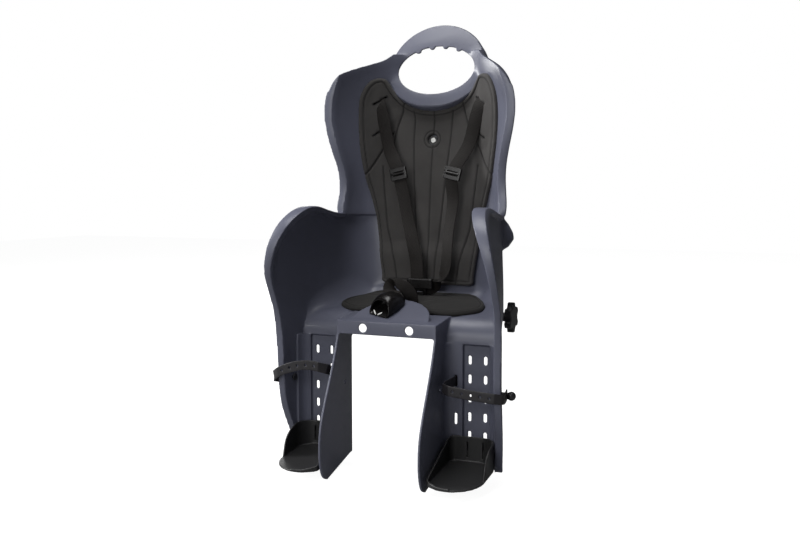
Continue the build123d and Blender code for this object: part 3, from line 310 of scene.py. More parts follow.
def fabric(name, colour, thread, height, sheen):
    """Woven cover: crossed threads in object space, with a slow change of tone, and painted shade in its
    seams and around its holes.
    """
    material = bpy.data.materials.new(name)
    tree = node_tree(material)
    shader = tree.nodes["Principled BSDF"]
    shader.inputs["Roughness"].default_value = 0.9
    shader.inputs["Specular IOR Level"].default_value = 0.25
    shader.inputs["Sheen Weight"].default_value = sheen
    shader.inputs["Sheen Roughness"].default_value = 0.6
    place = tree.nodes.new("ShaderNodeTexCoord")
    weave = []
    for direction in ("X", "Z"):
        wave = tree.nodes.new("ShaderNodeTexWave")
        wave.bands_direction = direction
        wave.inputs["Scale"].default_value = wave_scale(thread)
        wave.inputs["Distortion"].default_value = 1.2
        wave.inputs["Detail Scale"].default_value = 2.0
        link(tree, place, "Object", wave, "Vector")
        weave.append(wave)
    cross = tree.nodes.new("ShaderNodeMath")
    cross.operation = "MULTIPLY"
    tree.links.new(weave[0].outputs["Fac"], cross.inputs[0])
    tree.links.new(weave[1].outputs["Fac"], cross.inputs[1])
    bump = tree.nodes.new("ShaderNodeBump")
    bump.inputs["Strength"].default_value = height
    bump.inputs["Distance"].default_value = 0.25 * MM
    link(tree, cross, 0, bump, "Height")
    link(tree, bump, "Normal", shader, "Normal")
    tone = tree.nodes.new("ShaderNodeTexNoise")
    tone.inputs["Scale"].default_value = 35.0
    tone.inputs["Detail"].default_value = 6.0
    link(tree, place, "Object", tone, "Vector")
    mix = tree.nodes.new("ShaderNodeMix")
    mix.data_type = "RGBA"
    mix.inputs["A"].default_value = tinted(colour, FABRIC_TONES[0])
    mix.inputs["B"].default_value = tinted(colour, FABRIC_TONES[1])
    link(tree, tone, 0, mix, "Factor")
    # Painted shade: darker where the point attribute marks seams, hems and the edges of holes and cuts
    seam_shade = tree.nodes.new("ShaderNodeAttribute")
    seam_shade.attribute_name = "seam_shade"
    shade = tree.nodes.new("ShaderNodeMix")
    shade.data_type = "RGBA"
    shade.inputs["B"].default_value = tinted(colour, SEAM_SHADE_TONE)
    link(tree, seam_shade, "Fac", shade, "Factor")
    tree.links.new(mix.outputs["Result"], shade.inputs["A"])
    tree.links.new(shade.outputs["Result"], shader.inputs["Base Color"])
    return material


def webbing(name, colour, rib):
    """Woven strap: ribs across it and a herringbone along it, on the strap's own UV map."""
    material = bpy.data.materials.new(name)
    tree = node_tree(material)
    shader = tree.nodes["Principled BSDF"]
    shader.inputs["Roughness"].default_value = 0.75
    shader.inputs["Specular IOR Level"].default_value = 0.2
    shader.inputs["Sheen Weight"].default_value = 0.03
    place = tree.nodes.new("ShaderNodeTexCoord")
    across = tree.nodes.new("ShaderNodeTexWave")
    across.bands_direction = "Y"
    across.inputs["Scale"].default_value = wave_scale(rib)
    across.inputs["Distortion"].default_value = 0.6
    along = tree.nodes.new("ShaderNodeTexWave")
    along.bands_direction = "DIAGONAL"
    along.inputs["Scale"].default_value = wave_scale(rib)
    link(tree, place, "UV", across, "Vector")
    link(tree, place, "UV", along, "Vector")
    add = tree.nodes.new("ShaderNodeMath")
    tree.links.new(across.outputs["Fac"], add.inputs[0])
    tree.links.new(along.outputs["Fac"], add.inputs[1])
    bump = tree.nodes.new("ShaderNodeBump")
    bump.inputs["Strength"].default_value = 0.5
    bump.inputs["Distance"].default_value = 0.3 * MM
    link(tree, add, 0, bump, "Height")
    link(tree, bump, "Normal", shader, "Normal")
    mix = tree.nodes.new("ShaderNodeMix")
    mix.data_type = "RGBA"
    mix.inputs["A"].default_value = tinted(colour, WEB_TONES[0])
    mix.inputs["B"].default_value = tinted(colour, WEB_TONES[1])
    tree.links.new(across.outputs["Fac"], mix.inputs["Factor"])
    tree.links.new(mix.outputs["Result"], shader.inputs["Base Color"])
    return material


def metal(name, colour, roughness):
    material = bpy.data.materials.new(name)
    tree = node_tree(material)
    shader = tree.nodes["Principled BSDF"]
    shader.inputs["Metallic"].default_value = 1.0
    place = tree.nodes.new("ShaderNodeTexCoord")
    noise = tree.nodes.new("ShaderNodeTexNoise")
    noise.inputs["Scale"].default_value = 240.0
    noise.inputs["Detail"].default_value = 4.0
    link(tree, place, "Object", noise, "Vector")
    rough = tree.nodes.new("ShaderNodeMapRange")
    rough.inputs["To Min"].default_value = roughness * METAL_ROUGH[0]
    rough.inputs["To Max"].default_value = roughness * METAL_ROUGH[1]
    link(tree, noise, 0, rough, "Value")
    link(tree, rough, "Result", shader, "Roughness")
    shader.inputs["Base Color"].default_value = tinted(colour)
    return material


def rivet_head(name, colour, middle, radius):
    """Dull metal within a radius of the rivet's axis, black washer outside it."""
    material = metal(name, colour, RIVET_ROUGH)
    tree = material.node_tree
    shader = tree.nodes["Principled BSDF"]
    place = tree.nodes.new("ShaderNodeTexCoord")
    flat = tree.nodes.new("ShaderNodeVectorMath")
    flat.operation = "MULTIPLY_ADD"
    flat.inputs[1].default_value = (1, 0, 1)
    flat.inputs[2].default_value = (0, 0, -middle * MM)
    far = tree.nodes.new("ShaderNodeVectorMath")
    far.operation = "LENGTH"
    within = tree.nodes.new("ShaderNodeMath")
    within.operation = "LESS_THAN"
    within.inputs[1].default_value = radius * MM
    mix = tree.nodes.new("ShaderNodeMix")
    mix.data_type = "RGBA"
    mix.inputs["A"].default_value = WASHER_TONE
    mix.inputs["B"].default_value = tinted(colour)
    link(tree, place, "Object", flat, 0)
    link(tree, flat, "Vector", far, 0)
    link(tree, far, "Value", within, 0)
    link(tree, within, 0, mix, "Factor")
    link(tree, within, 0, shader, "Metallic")
    tree.links.new(mix.outputs["Result"], shader.inputs["Base Color"])
    return material


# A plastic has its tone, roughness, and its grain's scale and height; a fabric its tone, thread in mm, height
# of the weave and sheen; the webbing its tone and rib in mm; a metal its tone and roughness
SHELL = plastic("shell plastic", (0.081, 0.085, 0.115), 0.38, 900, 0.12, specular=0.34)
PAD = fabric("back pad fabric", (0.035, 0.033, 0.032), 1.1, 0.35, 0.06)
# The seat pad's fabric is a darker copy of the back pad's: its darkness is painted shade against the light
# from above
SHADED_SEAT_PAD = fabric("seat pad fabric darkened for shade", (0.0145, 0.0137, 0.013), 1.1, 0.35, 0.02)
WEB = webbing("webbing", (0.0066, 0.0052, 0.0045), 1.3)
BUCKLE = plastic("buckle plastic", (0.005, 0.0045, 0.0045), 0.26, 1200, 0.1, specular=0.24)
FOOT = plastic("footrest plastic", (0.014, 0.014, 0.0145), 0.42, 1100, 0.25, specular=0.36)
RUBBER = plastic("strap rubber", (0.012, 0.011, 0.013), 0.5, 1500, 0.15, specular=0.35)
STUD = plastic("stud plastic", (0.014, 0.014, 0.016), 0.4, 1200, 0.1)
CLAMP = plastic("clamp plastic", (0.014, 0.014, 0.015), 0.5, 800, 0.3)
# Near-white tone of the buckle's prongs: painted glints on two real parts
PRONG_GLINT = plastic("prong painted glint", (0.75, 0.75, 0.72), 0.3, 900, 0.1)
STEEL = metal("zinc plated steel", (0.58, 0.59, 0.6), 0.32)
RIVET = rivet_head("rivet metal", (0.42, 0.42, 0.41), RIVET_HEIGHT, RIVET_RADIUS)


# Shell and other moulded pieces

# Where the shell's corners run out in wide radii, in mm: a fade has its start and its length, a spot has the
# centre and the radius on each of its two axes, and then its reach
BOWL_FLOOR = (20, 25)
BOWL_TOP = (195, -20)
BOWL_FRONT = (-90, 40)
BOWL_HALF_WIDTH = 165
ARM_CORNER = ((6, 28), (200, 17), 1.7)
ARM_INNER = 138
SHOULDER_CORNER = ((178, 12), (422, 16), 1.5)
RING_FOOT = ((92, 12), (466, 34), 1.5)
RING_BACK = 128
RING_SHARE = 0.7
RIM_SIDE = (112, 25)
RIM_BOTTOM = (-10, 40)
RIM_SHARE = 0.6


def fade(values, span):
    start, length = span
    return np.clip((values - start) / length, 0, 1)


def spot_weight(one, two, spot):
    (first, first_radius), (second, second_radius), reach = spot
    return np.clip(reach - np.hypot((one - first) / first_radius, (two - second) / second_radius), 0, 1)


def soft_corners(points):
    """How much each point of the shell is eased: bucket, armrests, shoulders, foot of the ring and rims."""
    x, y, z = np.abs(points.T[0]), points.T[1], points.T[2]
    bowl = fade(z, BOWL_FLOOR) * fade(z, BOWL_TOP) * fade(y, BOWL_FRONT) * (x < BOWL_HALF_WIDTH)
    arm = spot_weight(y, z, ARM_CORNER) * (x > ARM_INNER)
    shoulder = spot_weight(x, z, SHOULDER_CORNER)
    ring = RING_SHARE * spot_weight(x, z, RING_FOOT) * (y < RING_BACK)
    rims = RIM_SHARE * fade(x, RIM_SIDE) * fade(z, RIM_BOTTOM)
    return np.maximum.reduce([bowl, arm, shoulder, ring, rims])


# Sides of a round bar, a direction that no bar has, and a slider's bar: radius, sink and inset in mm
ROD_SIDES = 12
ANY_WAY = (0.3, 0.5, 0.81)
BAR_RADIUS = 2.6
BAR_SINK = 1.2
BAR_INSET = 3


def axes_of(node):
    """Centre of a boxy CAD node, its axes from longest to shortest and its half sizes on them, in mm."""
    points = np.unique(points_of(NODES[node].data).round(6), axis=0) / MM
    middle = (points.min(axis=0) + points.max(axis=0)) / 2
    _, _, axes = np.linalg.svd(points - points.mean(axis=0), full_matrices=False)
    along = (points - middle) @ axes.T
    centre = middle + (along.max(axis=0) + along.min(axis=0)) / 2 @ axes
    return centre, axes, np.ptp(along, axis=0) / 2


def rod_form(start, end, radius):
    """A closed round bar in mm, as points and faces in metres."""
    start, end = np.asarray(start, dtype=float), np.asarray(end, dtype=float)
    run = unit(end - start)
    one = unit(np.cross(run, ANY_WAY))
    two = np.cross(run, one)
    sides = ROD_SIDES
    turns = np.arange(sides) * 2 * math.pi / sides
    ring = np.outer(np.cos(turns), one) + np.outer(np.sin(turns), two)
    points = np.vstack([start + radius * ring, end + radius * ring]) * MM
    faces = [(k, (k + 1) % sides, sides + (k + 1) % sides, sides + k) for k in range(sides)]
    return points, faces + [tuple(range(sides))[::-1], tuple(range(sides, 2 * sides))]


def slider_bar(node):
    """The crossbar in the slider's window, which the strap runs over."""
    middle, axes, half = axes_of(node)
    front = axes[2] * (-1 if axes[2][1] > 0 else 1)
    spot = middle + front * (half[2] - BAR_SINK)
    reach = axes[0] * (half[0] - BAR_INSET)
    return [rod_form(spot - reach, spot + reach, BAR_RADIUS)]


# Height of the left foot strap's arch in mm, and its spans from the seat's middle outwards, as (start, end,
# share of the arch)
STRAP_ARCH = 26.0
STRAP_SPANS = ((120, 160, 0.3), (160, 204, 0.25))


def bowed(points):
    """Rounds the straight spans of the left foot strap to one arch."""
    lift = np.zeros(len(points))
    for start, end, share in STRAP_SPANS:
        t = np.clip((np.abs(points[:, 0]) - start) / (end - start), 0, 1)
        lift += 4 * STRAP_ARCH * share ** 2 * t * (1 - t)
    return points + np.outer(lift, (0, 0, 1))


SHELL_VOXEL = 1.5
SHELL_TRIANGLES = 190000
SHELL_FACET_ROUNDS = 40
CORNER_ROUNDS = 24
# Each call gives the voxel in mm, the smoothing rounds and the most triangles
moulded("seat_shell", "seat", SHELL, SHELL_VOXEL, 2, SHELL_TRIANGLES, SHELL_FACET_ROUNDS,
        (CORNER_ROUNDS, soft_corners))
for side in SIDES:
    moulded("footrest_" + side, "footrest_" + side, FOOT, 1.0, 3, 60000)
    moulded("clamp_jaw_" + side, "jaw_" + side, CLAMP, 0.9, 3, 30000)
    moulded("clamp_knob_" + side, "knob_" + side, CLAMP, 0.8, 3, 40000)
    adjuster = "strap_adjuster_" + side
    moulded(adjuster, "seat", BUCKLE, 0.5, 3, 24000, extra=slider_bar(adjuster))
    moulded("foot_strap_stud_" + side, "seat", STUD, 0.5, 3, 16000)
    moulded("foot_strap_" + side, "seat", RUBBER, 0.8, 2, 40000,
            bend=bowed if side == "left" else None)
moulded("clamp_bridge", "seat", CLAMP, 1.2, 3, 60000)
moulded("buckle_tongue", "seat", BUCKLE, 0.5, 6, 30000)


# Buckle socket: slope of the hump, turn of the socket on it, height in mm, points over and under a section,
# how square its arch is, sections as (share of the length, share of the half width, share of the height,
# lean of the section, wall), the prongs from tip to foot in mm, and how often the hood is subdivided
HUMP_SLOPE = math.radians(24)
SOCKET_TURN = math.radians(20)
SOCKET_HEIGHT = 29.0
SOCKET_ARC = 15
SOCKET_FLOOR = 7
HOOD_SQUARE = 0.75
HOOD_RINGS = [(0.62, 0.92, 0.9, 0, 4.2), (0.3, 1.0, 1.0, 8, 3.4), (0.02, 0.95, 0.84, 17, 2.4),
              (0.0, 0.97, 0.86, 17, 0.6), (0.02, 1.0, 0.9, 17, 0), (0.3, 1.06, 1.02, 8, 0),
              (0.62, 1.02, 0.98, 0, 0), (0.86, 0.88, 0.8, 0, 0), (0.97, 0.72, 0.6, 0, 0),
              (1.0, 0.66, 0.5, 0, 1.0)]
PRONGS = [((-10.0, 4.0, 10.0), (-1.5, -1.5, 4.0)), ((10.5, 3.5, 9.5), (1.0, -1.5, 4.0))]
PRONG_RADIUS = 1.3
HOOD_LEVELS = 2


def buckle_socket():
    """The buckle's body: a hood arched over an open mouth, with two prongs on the mouth's floor whose
    near-white tone paints their glints.
    """
    normal = np.array([0, -math.sin(HUMP_SLOPE), math.cos(HUMP_SLOPE)])
    ahead = math.cos(SOCKET_TURN)
    way = unit(np.array([math.sin(SOCKET_TURN), ahead, ahead * math.tan(HUMP_SLOPE)]))
    wide = np.cross(way, normal)
    basis = np.array([wide, way, normal])
    local = points_of(NODES["buckle_socket"].data) / MM @ basis.T
    low, high = local.min(axis=0), local.max(axis=0)
    centre = (low[0] + high[0]) / 2
    half, length = (high[0] - low[0]) / 2, high[1] - low[1]
    arch = np.linspace(0, math.pi, SOCKET_ARC)
    floor = np.linspace(-1, 1, SOCKET_FLOOR)[1:-1]

    def ring(share, width, height, lean, inset):
        """One section across the socket: share of its length, half width and height, set in by a wall."""
        made = []
        for a in arch:
            c, q = math.cos(a), math.sin(a)
            x = math.copysign(abs(c) ** HOOD_SQUARE, c) * (width - inset)
            z = inset + q ** HOOD_SQUARE * (height - 2 * inset)
            made.append((x, z))
        made += [(x * (width - inset), inset) for x in floor]
        rows = [(centre + x, low[1] + length * share + lean * z / height, low[2] + z) for x, z in made]
        return np.array(rows)

    rings = [ring(share, half * width, SOCKET_HEIGHT * height, lean, inset)
             for share, width, height, lean, inset in HOOD_RINGS]
    count = len(rings[0])
    faces = []
    for row in range(len(rings) - 1):
        for k in range(count):
            a, b = row * count + k, row * count + (k + 1) % count
            faces.append((a, b, b + count, a + count))
    faces.append(tuple(range(count)))
    faces.append(tuple((len(rings) - 1) * count + k for k in range(count)))
    mesh = mesh_from("buckle_socket_hood", np.vstack(rings) @ basis * MM, faces)
    shape = bmesh.new()
    shape.from_mesh(mesh)
    bmesh.ops.recalc_face_normals(shape, faces=shape.faces)
    body_faces = len(shape.faces)
    for start, end in PRONGS:
        ends = [(np.array([centre, low[1], low[2]]) + spot) @ basis for spot in (start, end)]
        shape.from_mesh(mesh_from("prong", *rod_form(*ends, PRONG_RADIUS)))
    shape.faces.ensure_lookup_table()
    for face in shape.faces[body_faces:]:
        face.material_index = 1
    shape.to_mesh(mesh)
    shape.free()
    piece = new_piece("buckle_socket_hood", mesh)
    rounded = piece.modifiers.new("round", "SUBSURF")
    rounded.levels = rounded.render_levels = HOOD_LEVELS
    baked(piece)
    finish_piece(piece, "buckle_socket", "seat", BUCKLE)
    piece.data.materials.append(PRONG_GLINT)


buckle_socket()


# Pads

# Pitch of a pad's sheet, how much coarser its cloth is, its sewn hem and how far past it the cover is held
# down, its rounded edge and the width of the painted shade around its holes and cuts, in mm
PAD_PITCH = 1.6
CLOTH_STEP = 3
HEM = 7.0
HEM_WIDTH = 0.9
HEM_SINK = 1.8
HEM_HELD = 1
EDGE_RADIUS = 4.0
HOLE_SHADE_WIDTH = 1.6
# A pad's thickness in mm, the share of it that is left at the edge, its least height, and how full it is
PAD_THICKNESS = 7.5
EDGE_SHARE = 0.35
LEAST_HEIGHT = 1.0
# The cover's cloth: steps, pressure, mass; then its rise, measured against a percentile of it, at least
# RISE_LEAST in mm, at most RISE_MOST times that, and smoothed in some rounds
CLOTH_FRAMES = 20
CLOTH_PRESSURE = 4
CLOTH_MASS = 0.15
RISE_PERCENTILE = 97
RISE_LEAST = 0.5
RISE_MOST = 1.3
RISE_ROUNDS = 4
# Rounds that carry a pad's base past its solid, where the rays to it start in metres, and the shares of the
# sheet's pitch within which a point belongs to an edge, and of the cloth's within which it is sewn down
BASE_ROUNDS = 400
RAY_START = 0.4
EDGE_NEAR = 0.35
SEAM_NEAR = 0.6
# Farther than any point in mm, the least square of a length, an index that is inside the last cell, and the
# points of a slot
FAR = 1e9
TINY = 1e-12
LAST_CELL = 1.001
SLOT_POINTS = 16


def inside(loop, spots):
    x, y = spots.T
    result = np.zeros(len(spots), dtype=bool)
    for (x0, y0), (x1, y1) in zip(loop, np.roll(loop, -1, axis=0)):
        if y0 == y1:
            continue
        result ^= ((y0 > y) != (y1 > y)) & (x < x0 + (y - y0) / (y1 - y0) * (x1 - x0))
    return result


def nearest(line, spots):
    """Distance from each spot to a polyline, and the nearest point on it."""
    best = np.full(len(spots), FAR)
    where = np.zeros_like(spots)
    for a, b in zip(line[:-1], line[1:]):
        run = b - a
        t = np.clip((spots - a) @ run / max(run @ run, TINY), 0, 1)
        on = a + t[:, None] * run
        far = np.hypot(*(spots - on).T)
        closer = far < best
        best[closer] = far[closer]
        where[closer] = on[closer]
    return best, where


def closed(loop):
    return np.vstack([loop, loop[:1]])


def diffuse(field, known, rounds):
    """Fills the unknown cells of a grid from their neighbours."""
    field = np.where(known, field, field[known].mean())
    for _ in range(rounds):
        edge = np.pad(field, 1, mode="edge")
        mean = (edge[:-2, 1:-1] + edge[2:, 1:-1] + edge[1:-1, :-2] + edge[1:-1, 2:]) / 4
        field = np.where(known, field, mean)
    return field


def blur(field, rounds):
    for _ in range(rounds):
        edge = np.pad(field, 1, mode="edge")
        mean = (edge[:-2, 1:-1] + edge[2:, 1:-1] + edge[1:-1, :-2] + edge[1:-1, 2:]) / 4
        field = (field + mean) / 2
    return field


def cells(number, keep):
    """Faces of a grid of numbered points, from its kept corners."""
    faces = []
    for i in range(number.shape[0] - 1):
        for j in range(number.shape[1] - 1):
            ring = [number[i, j], number[i + 1, j], number[i + 1, j + 1], number[i, j + 1]]
            ring = [int(k) for k in ring if keep[k]]
            if len(ring) >= 3:
                faces.append(ring)
    used = np.unique([k for ring in faces for k in ring])
    place = {k: i for i, k in enumerate(used.tolist())}
    return used, [[place[k] for k in ring] for ring in faces]


def cloth_rise(points, faces, sewn, normals):
    """How far a cover that is sewn down at some points rises over its filling: a short cloth simulation."""
    cover = new_piece("cover", mesh_from("cover", points * MM, faces))
    group = cover.vertex_groups.new(name="sewn")
    group.add(np.flatnonzero(sewn).tolist(), 1.0, "REPLACE")
    cloth = cover.modifiers.new("cloth", "CLOTH")
    cloth.settings.vertex_group_mass = "sewn"
    cloth.settings.use_pressure = True
    cloth.settings.uniform_pressure_force = CLOTH_PRESSURE
    cloth.settings.mass = CLOTH_MASS
    cloth.settings.effector_weights.gravity = 0
    cloth.point_cache.frame_end = CLOTH_FRAMES
    scene = bpy.context.scene
    for moment in range(1, CLOTH_FRAMES + 1):
        scene.frame_set(moment)
    made = cover.evaluated_get(bpy.context.evaluated_depsgraph_get())
    moved = points_of(made.to_mesh()) / MM
    made.to_mesh_clear()
    bpy.data.objects.remove(cover)
    scene.frame_set(1)
    return ((moved - points) * normals).sum(axis=1)


def spread_out(coarse, shape, step):
    """A coarse grid's values, evened out between its points, on a grid that is step times finer."""
    at = [np.minimum(np.arange(n) / step, m - LAST_CELL) for n, m in zip(shape, coarse.shape)]
    low = [a.astype(int) for a in at]
    i, j = np.meshgrid(*low, indexing="ij")
    s, t = np.meshgrid(*[a - b for a, b in zip(at, low)], indexing="ij")
    return ((coarse[i, j] * (1 - s) + coarse[i + 1, j] * s) * (1 - t)
            + (coarse[i, j + 1] * (1 - s) + coarse[i + 1, j + 1] * s) * t)


def pad_grid(outline):
    """Spots of a pad's sheet in mm, as rows of pairs, and the shape of their grid."""
    lo, hi = outline.min(axis=0) - 2 * PAD_PITCH, outline.max(axis=0) + 2 * PAD_PITCH
    us = np.arange(lo[0], hi[0] + PAD_PITCH, PAD_PITCH)
    vs = np.arange(lo[1], hi[1] + PAD_PITCH, PAD_PITCH)
    grid_u, grid_v = np.meshgrid(us, vs, indexing="ij")
    return np.column_stack([grid_u.ravel(), grid_v.ravel()]), grid_u.shape


def pad_base(node, spots, shape, plane, soften):
    """The pad's underside on its CAD solid, carried past the solid's edge, and its normals."""
    first, second, depth, facing = plane
    cad = NODES[node].data
    tree = BVHTree.FromPolygons([v.co for v in cad.vertices], [tuple(p.vertices) for p in cad.polygons])
    way = Vector((0, 0, 0))
    way[depth] = facing
    base = np.zeros(len(spots))
    known = np.zeros(len(spots), dtype=bool)
    start = Vector((0, 0, 0))
    for i, (u, v) in enumerate(spots):
        start[first], start[second], start[depth] = u * MM, v * MM, -facing * RAY_START
        hit = tree.ray_cast(start, way)[0]
        if hit is not None:
            base[i] = hit[depth] / MM
            known[i] = True
    base = blur(diffuse(base.reshape(shape), known.reshape(shape), BASE_ROUNDS), soften)
    slope_u, slope_v = np.gradient(base, PAD_PITCH)
    normal = np.zeros((len(spots), 3))
    normal[:, first] = -slope_u.ravel()
    normal[:, second] = -slope_v.ravel()
    normal[:, depth] = 1
    normal *= facing / np.linalg.norm(normal, axis=1)[:, None]
    lower = np.zeros((len(spots), 3))
    lower[:, first], lower[:, second], lower[:, depth] = spots[:, 0], spots[:, 1], base.ravel()
    return lower, normal


def pad_edges(loops, hemmed, spots):
    """Which spots the pad has, how far each is from a hemmed edge, its nearest edge point and the painted
    shade around its holes and cuts.
    """
    keep = inside(loops[0], spots)
    rim = np.full(len(spots), FAR)
    hem = rim.copy()
    snap = spots.copy()
    hole_shade = np.zeros(len(spots))
    for number, loop in enumerate(loops):
        far, where = nearest(closed(loop), spots)
        if number:
            keep &= ~inside(loop, spots)
            # Painted shade around the holes and cuts
            hole_shade = np.maximum(hole_shade, np.exp(-(far / HOLE_SHADE_WIDTH) ** 2))
        if number < hemmed:
            hem = np.minimum(hem, far)
        closer = far < rim
        rim[closer] = far[closer]
        snap[closer] = where[closer]
    keep |= rim < PAD_PITCH * EDGE_NEAR
    return keep, hem, snap, hole_shade


def pad_seams(seams, hem, hole_shade, spots):
    """How dark the painted shade in the seams is at each spot, how deep the seams are, and where the cover is
    sewn down.
    """
    groove_shade = np.exp(-((hem - HEM) / HEM_WIDTH) ** 2)
    sink = HEM_SINK * groove_shade
    # The groove also carries the painted shade: hem, seams and the edges of holes and cuts
    groove_shade = np.maximum(groove_shade, hole_shade)
    sewn = hem < HEM + HEM_HELD
    for line, deep, width in seams:
        far, _ = nearest(np.asarray(line, dtype=float), spots)
        near = np.exp(-(far / width) ** 2)
        groove_shade = np.maximum(groove_shade, near)
        sink = np.maximum(sink, deep * near)
        sewn |= far < CLOTH_STEP * PAD_PITCH * SEAM_NEAR
    return groove_shade, sink, sewn


def pad_fields(lower, normal, keep, sewn, number, turned):
    """How high the cover puffs up at each spot, as a share of its full height."""
    coarse = number[::CLOTH_STEP, ::CLOTH_STEP]
    used, faces = cells(coarse, keep)
    if turned:
        faces = [ring[::-1] for ring in faces]
    rise = np.zeros(number.size)
    rise[used] = cloth_rise((lower + normal * PAD_THICKNESS)[used], faces, sewn[used], normal[used])
    rise = np.clip(rise / max(np.percentile(rise[used], RISE_PERCENTILE), RISE_LEAST), 0, RISE_MOST)
    return blur(spread_out(rise[coarse], number.shape, CLOTH_STEP), RISE_ROUNDS).ravel()


def pad_piece(name, node, outline, holes, cuts, seams, plane, puff, soften, material):
    """A sewn pad: a fine sheet inside its outline, puffed up between its seams and its sewn edge.

    Its holes have a sewn edge too, its cuts have none. plane is (first axis, second axis, depth axis,
    direction towards the sitter), puff is the height of the puffed fields in mm, and soften is the number of
    rounds that smooth the pad's base.
    """
    first, second, _, facing = plane
    loops = [np.asarray(loop, dtype=float) for loop in (outline, *holes, *cuts)]
    spots, shape = pad_grid(loops[0])
    lower, normal = pad_base(node, spots, shape, plane, soften)
    keep, hem, snap, hole_shade = pad_edges(loops, 1 + len(holes), spots)
    groove_shade, sink, sewn = pad_seams(seams, hem, hole_shade, spots)
    turned = facing * (1 if (first, second) in ((0, 1), (1, 2), (2, 0)) else -1) < 0
    number = np.arange(len(spots)).reshape(shape)
    puffed = pad_fields(lower, normal, keep, sewn, number, turned) * puff
    used, faces = cells(number, keep)
    ends = {(a, b) for ring in faces for a, b in zip(ring, ring[1:] + ring[:1])}
    border = [(a, b) for a, b in ends if (b, a) not in ends]
    edge = np.array(sorted({a for pair in border for a in pair}))
    lower, normal, hem, groove_shade = lower[used], normal[used], hem[used], groove_shade[used]
    lower[edge, first], lower[edge, second] = snap[used][edge].T
    hem[edge[hem[edge] < PAD_PITCH]] = 0
    crown = np.sqrt(1 - (1 - np.clip(hem / EDGE_RADIUS, 0, 1)) ** 2)
    body = PAD_THICKNESS * (EDGE_SHARE + (1 - EDGE_SHARE) * crown)
    height = np.maximum(body + puffed[used] - sink[used], LEAST_HEIGHT)
    upper = lower + normal * height[:, None]
    count = len(used)
    front = [ring[::-1] if turned else ring for ring in faces]
    back = [[k + count for k in reversed(ring)] for ring in front]
    walls = [[a, b, b + count, a + count] if turned else [b, a, a + count, b + count] for a, b in border]
    mesh = mesh_from(name, np.vstack([upper, lower]) * MM, front + back + walls)
    # Painted shade: seams, hems and the edges of holes and cuts are darkened through this attribute
    seam_shade = mesh.attributes.new("seam_shade", "FLOAT", "POINT")
    seam_shade.data.foreach_set("value", np.concatenate([groove_shade, groove_shade]).astype(np.float32))
    piece = new_piece(name, mesh)
    finish_piece(piece, node, "seat", material)


def slot_loop(centre, length, height, angle):
    """A round-ended slot."""
    turn = np.array([[math.cos(angle), -math.sin(angle)], [math.sin(angle), math.cos(angle)]])
    reach = length / 2 - height / 2
    made = []
    for k in range(SLOT_POINTS):
        a = 2 * math.pi * k / SLOT_POINTS
        made.append([math.copysign(reach, math.cos(a)) + height / 2 * math.cos(a), height / 2 * math.sin(a)])
    return np.array(made) @ turn.T + np.array(centre)


# Right half of the back pad, the ring's arc over it, and its seams as (points, depth, width), in mm
BACK_HALF = [(60, 60), (88, 61), (91, 75), (94, 95), (107, 180), (118, 225), (129, 264), (138, 330),
             (138.5, 395), (131, 424), (119, 441), (105, 447), (93, 445)]
RING_ARC = [(86, 435), (77, 421), (64, 407), (46, 395), (24, 387.5), (0, 384.5)]
MIDDLE_SEAM = ([(2, 384), (2, 330), (2, 284), (2, 200), (2, 124), (2, 66)], 2.0, 1.2)
SIDE_SEAMS = [
    ([(38, 386), (37, 329), (32, 263), (26, 189), (18, 105), (15, 64)], 2.0, 1.3),
    ([(97, 280), (92, 235), (82, 160), (64, 99), (59, 62)], 2.2, 1.4),
    ([(129, 264), (122, 271), (112, 288), (95, 318), (80, 342)], 3.0, 1.5),
    ([(57, 402), (64, 378), (71, 357), (76, 335), (78, 300)], 2.6, 1.5),
]
EDGE_STEPS = 8
ARC_STEPS = 6
BACK_PUFF = 3.5
BACK_SOFTEN = 160
RIVET_HOLE = 9
RIVET_POINTS = 20
# The pad's slits lie a little off the shell's slots, so that no light comes through them. Each has its
# level, how far it drops on the right and rises on the left, and its width
SLITS = ((402, 0, 2.8), (341, 1.5, 2.2))
SLIT_X = 104
SLIT_LENGTH = 30
SLIT_SHIFT = {-1: (-2.2, 3.3), 1: (-1.9, -2.9)}
SLIT_TILT = math.radians(34)
back_right = spline(BACK_HALF, EDGE_STEPS).tolist() + spline(RING_ARC, ARC_STEPS).tolist()
back_outline = back_right + [(-x, z) for x, z in reversed(back_right[:-1])]
back_seams = [MIDDLE_SEAM]
slits = []
for sign in (-1, 1):
    back_seams += [([(sign * x, z) for x, z in line], deep, width) for line, deep, width in SIDE_SEAMS]
    for level, drop, width in SLITS:
        spot = (sign * SLIT_X + SLIT_SHIFT[sign][0], level - sign * drop + SLIT_SHIFT[sign][1])
        slits.append(slot_loop(spot, SLIT_LENGTH, width, -sign * SLIT_TILT))
rivet_turns = [2 * math.pi * k / RIVET_POINTS for k in range(RIVET_POINTS)]
rivet_hole = [(RIVET_HOLE * math.cos(a), RIVET_HEIGHT + RIVET_HOLE * math.sin(a)) for a in rivet_turns]
pad_piece("back_pad_sewn", "back_pad", back_outline, [rivet_hole], slits, back_seams, (0, 2, 1, -1),
          BACK_PUFF, BACK_SOFTEN, PAD)

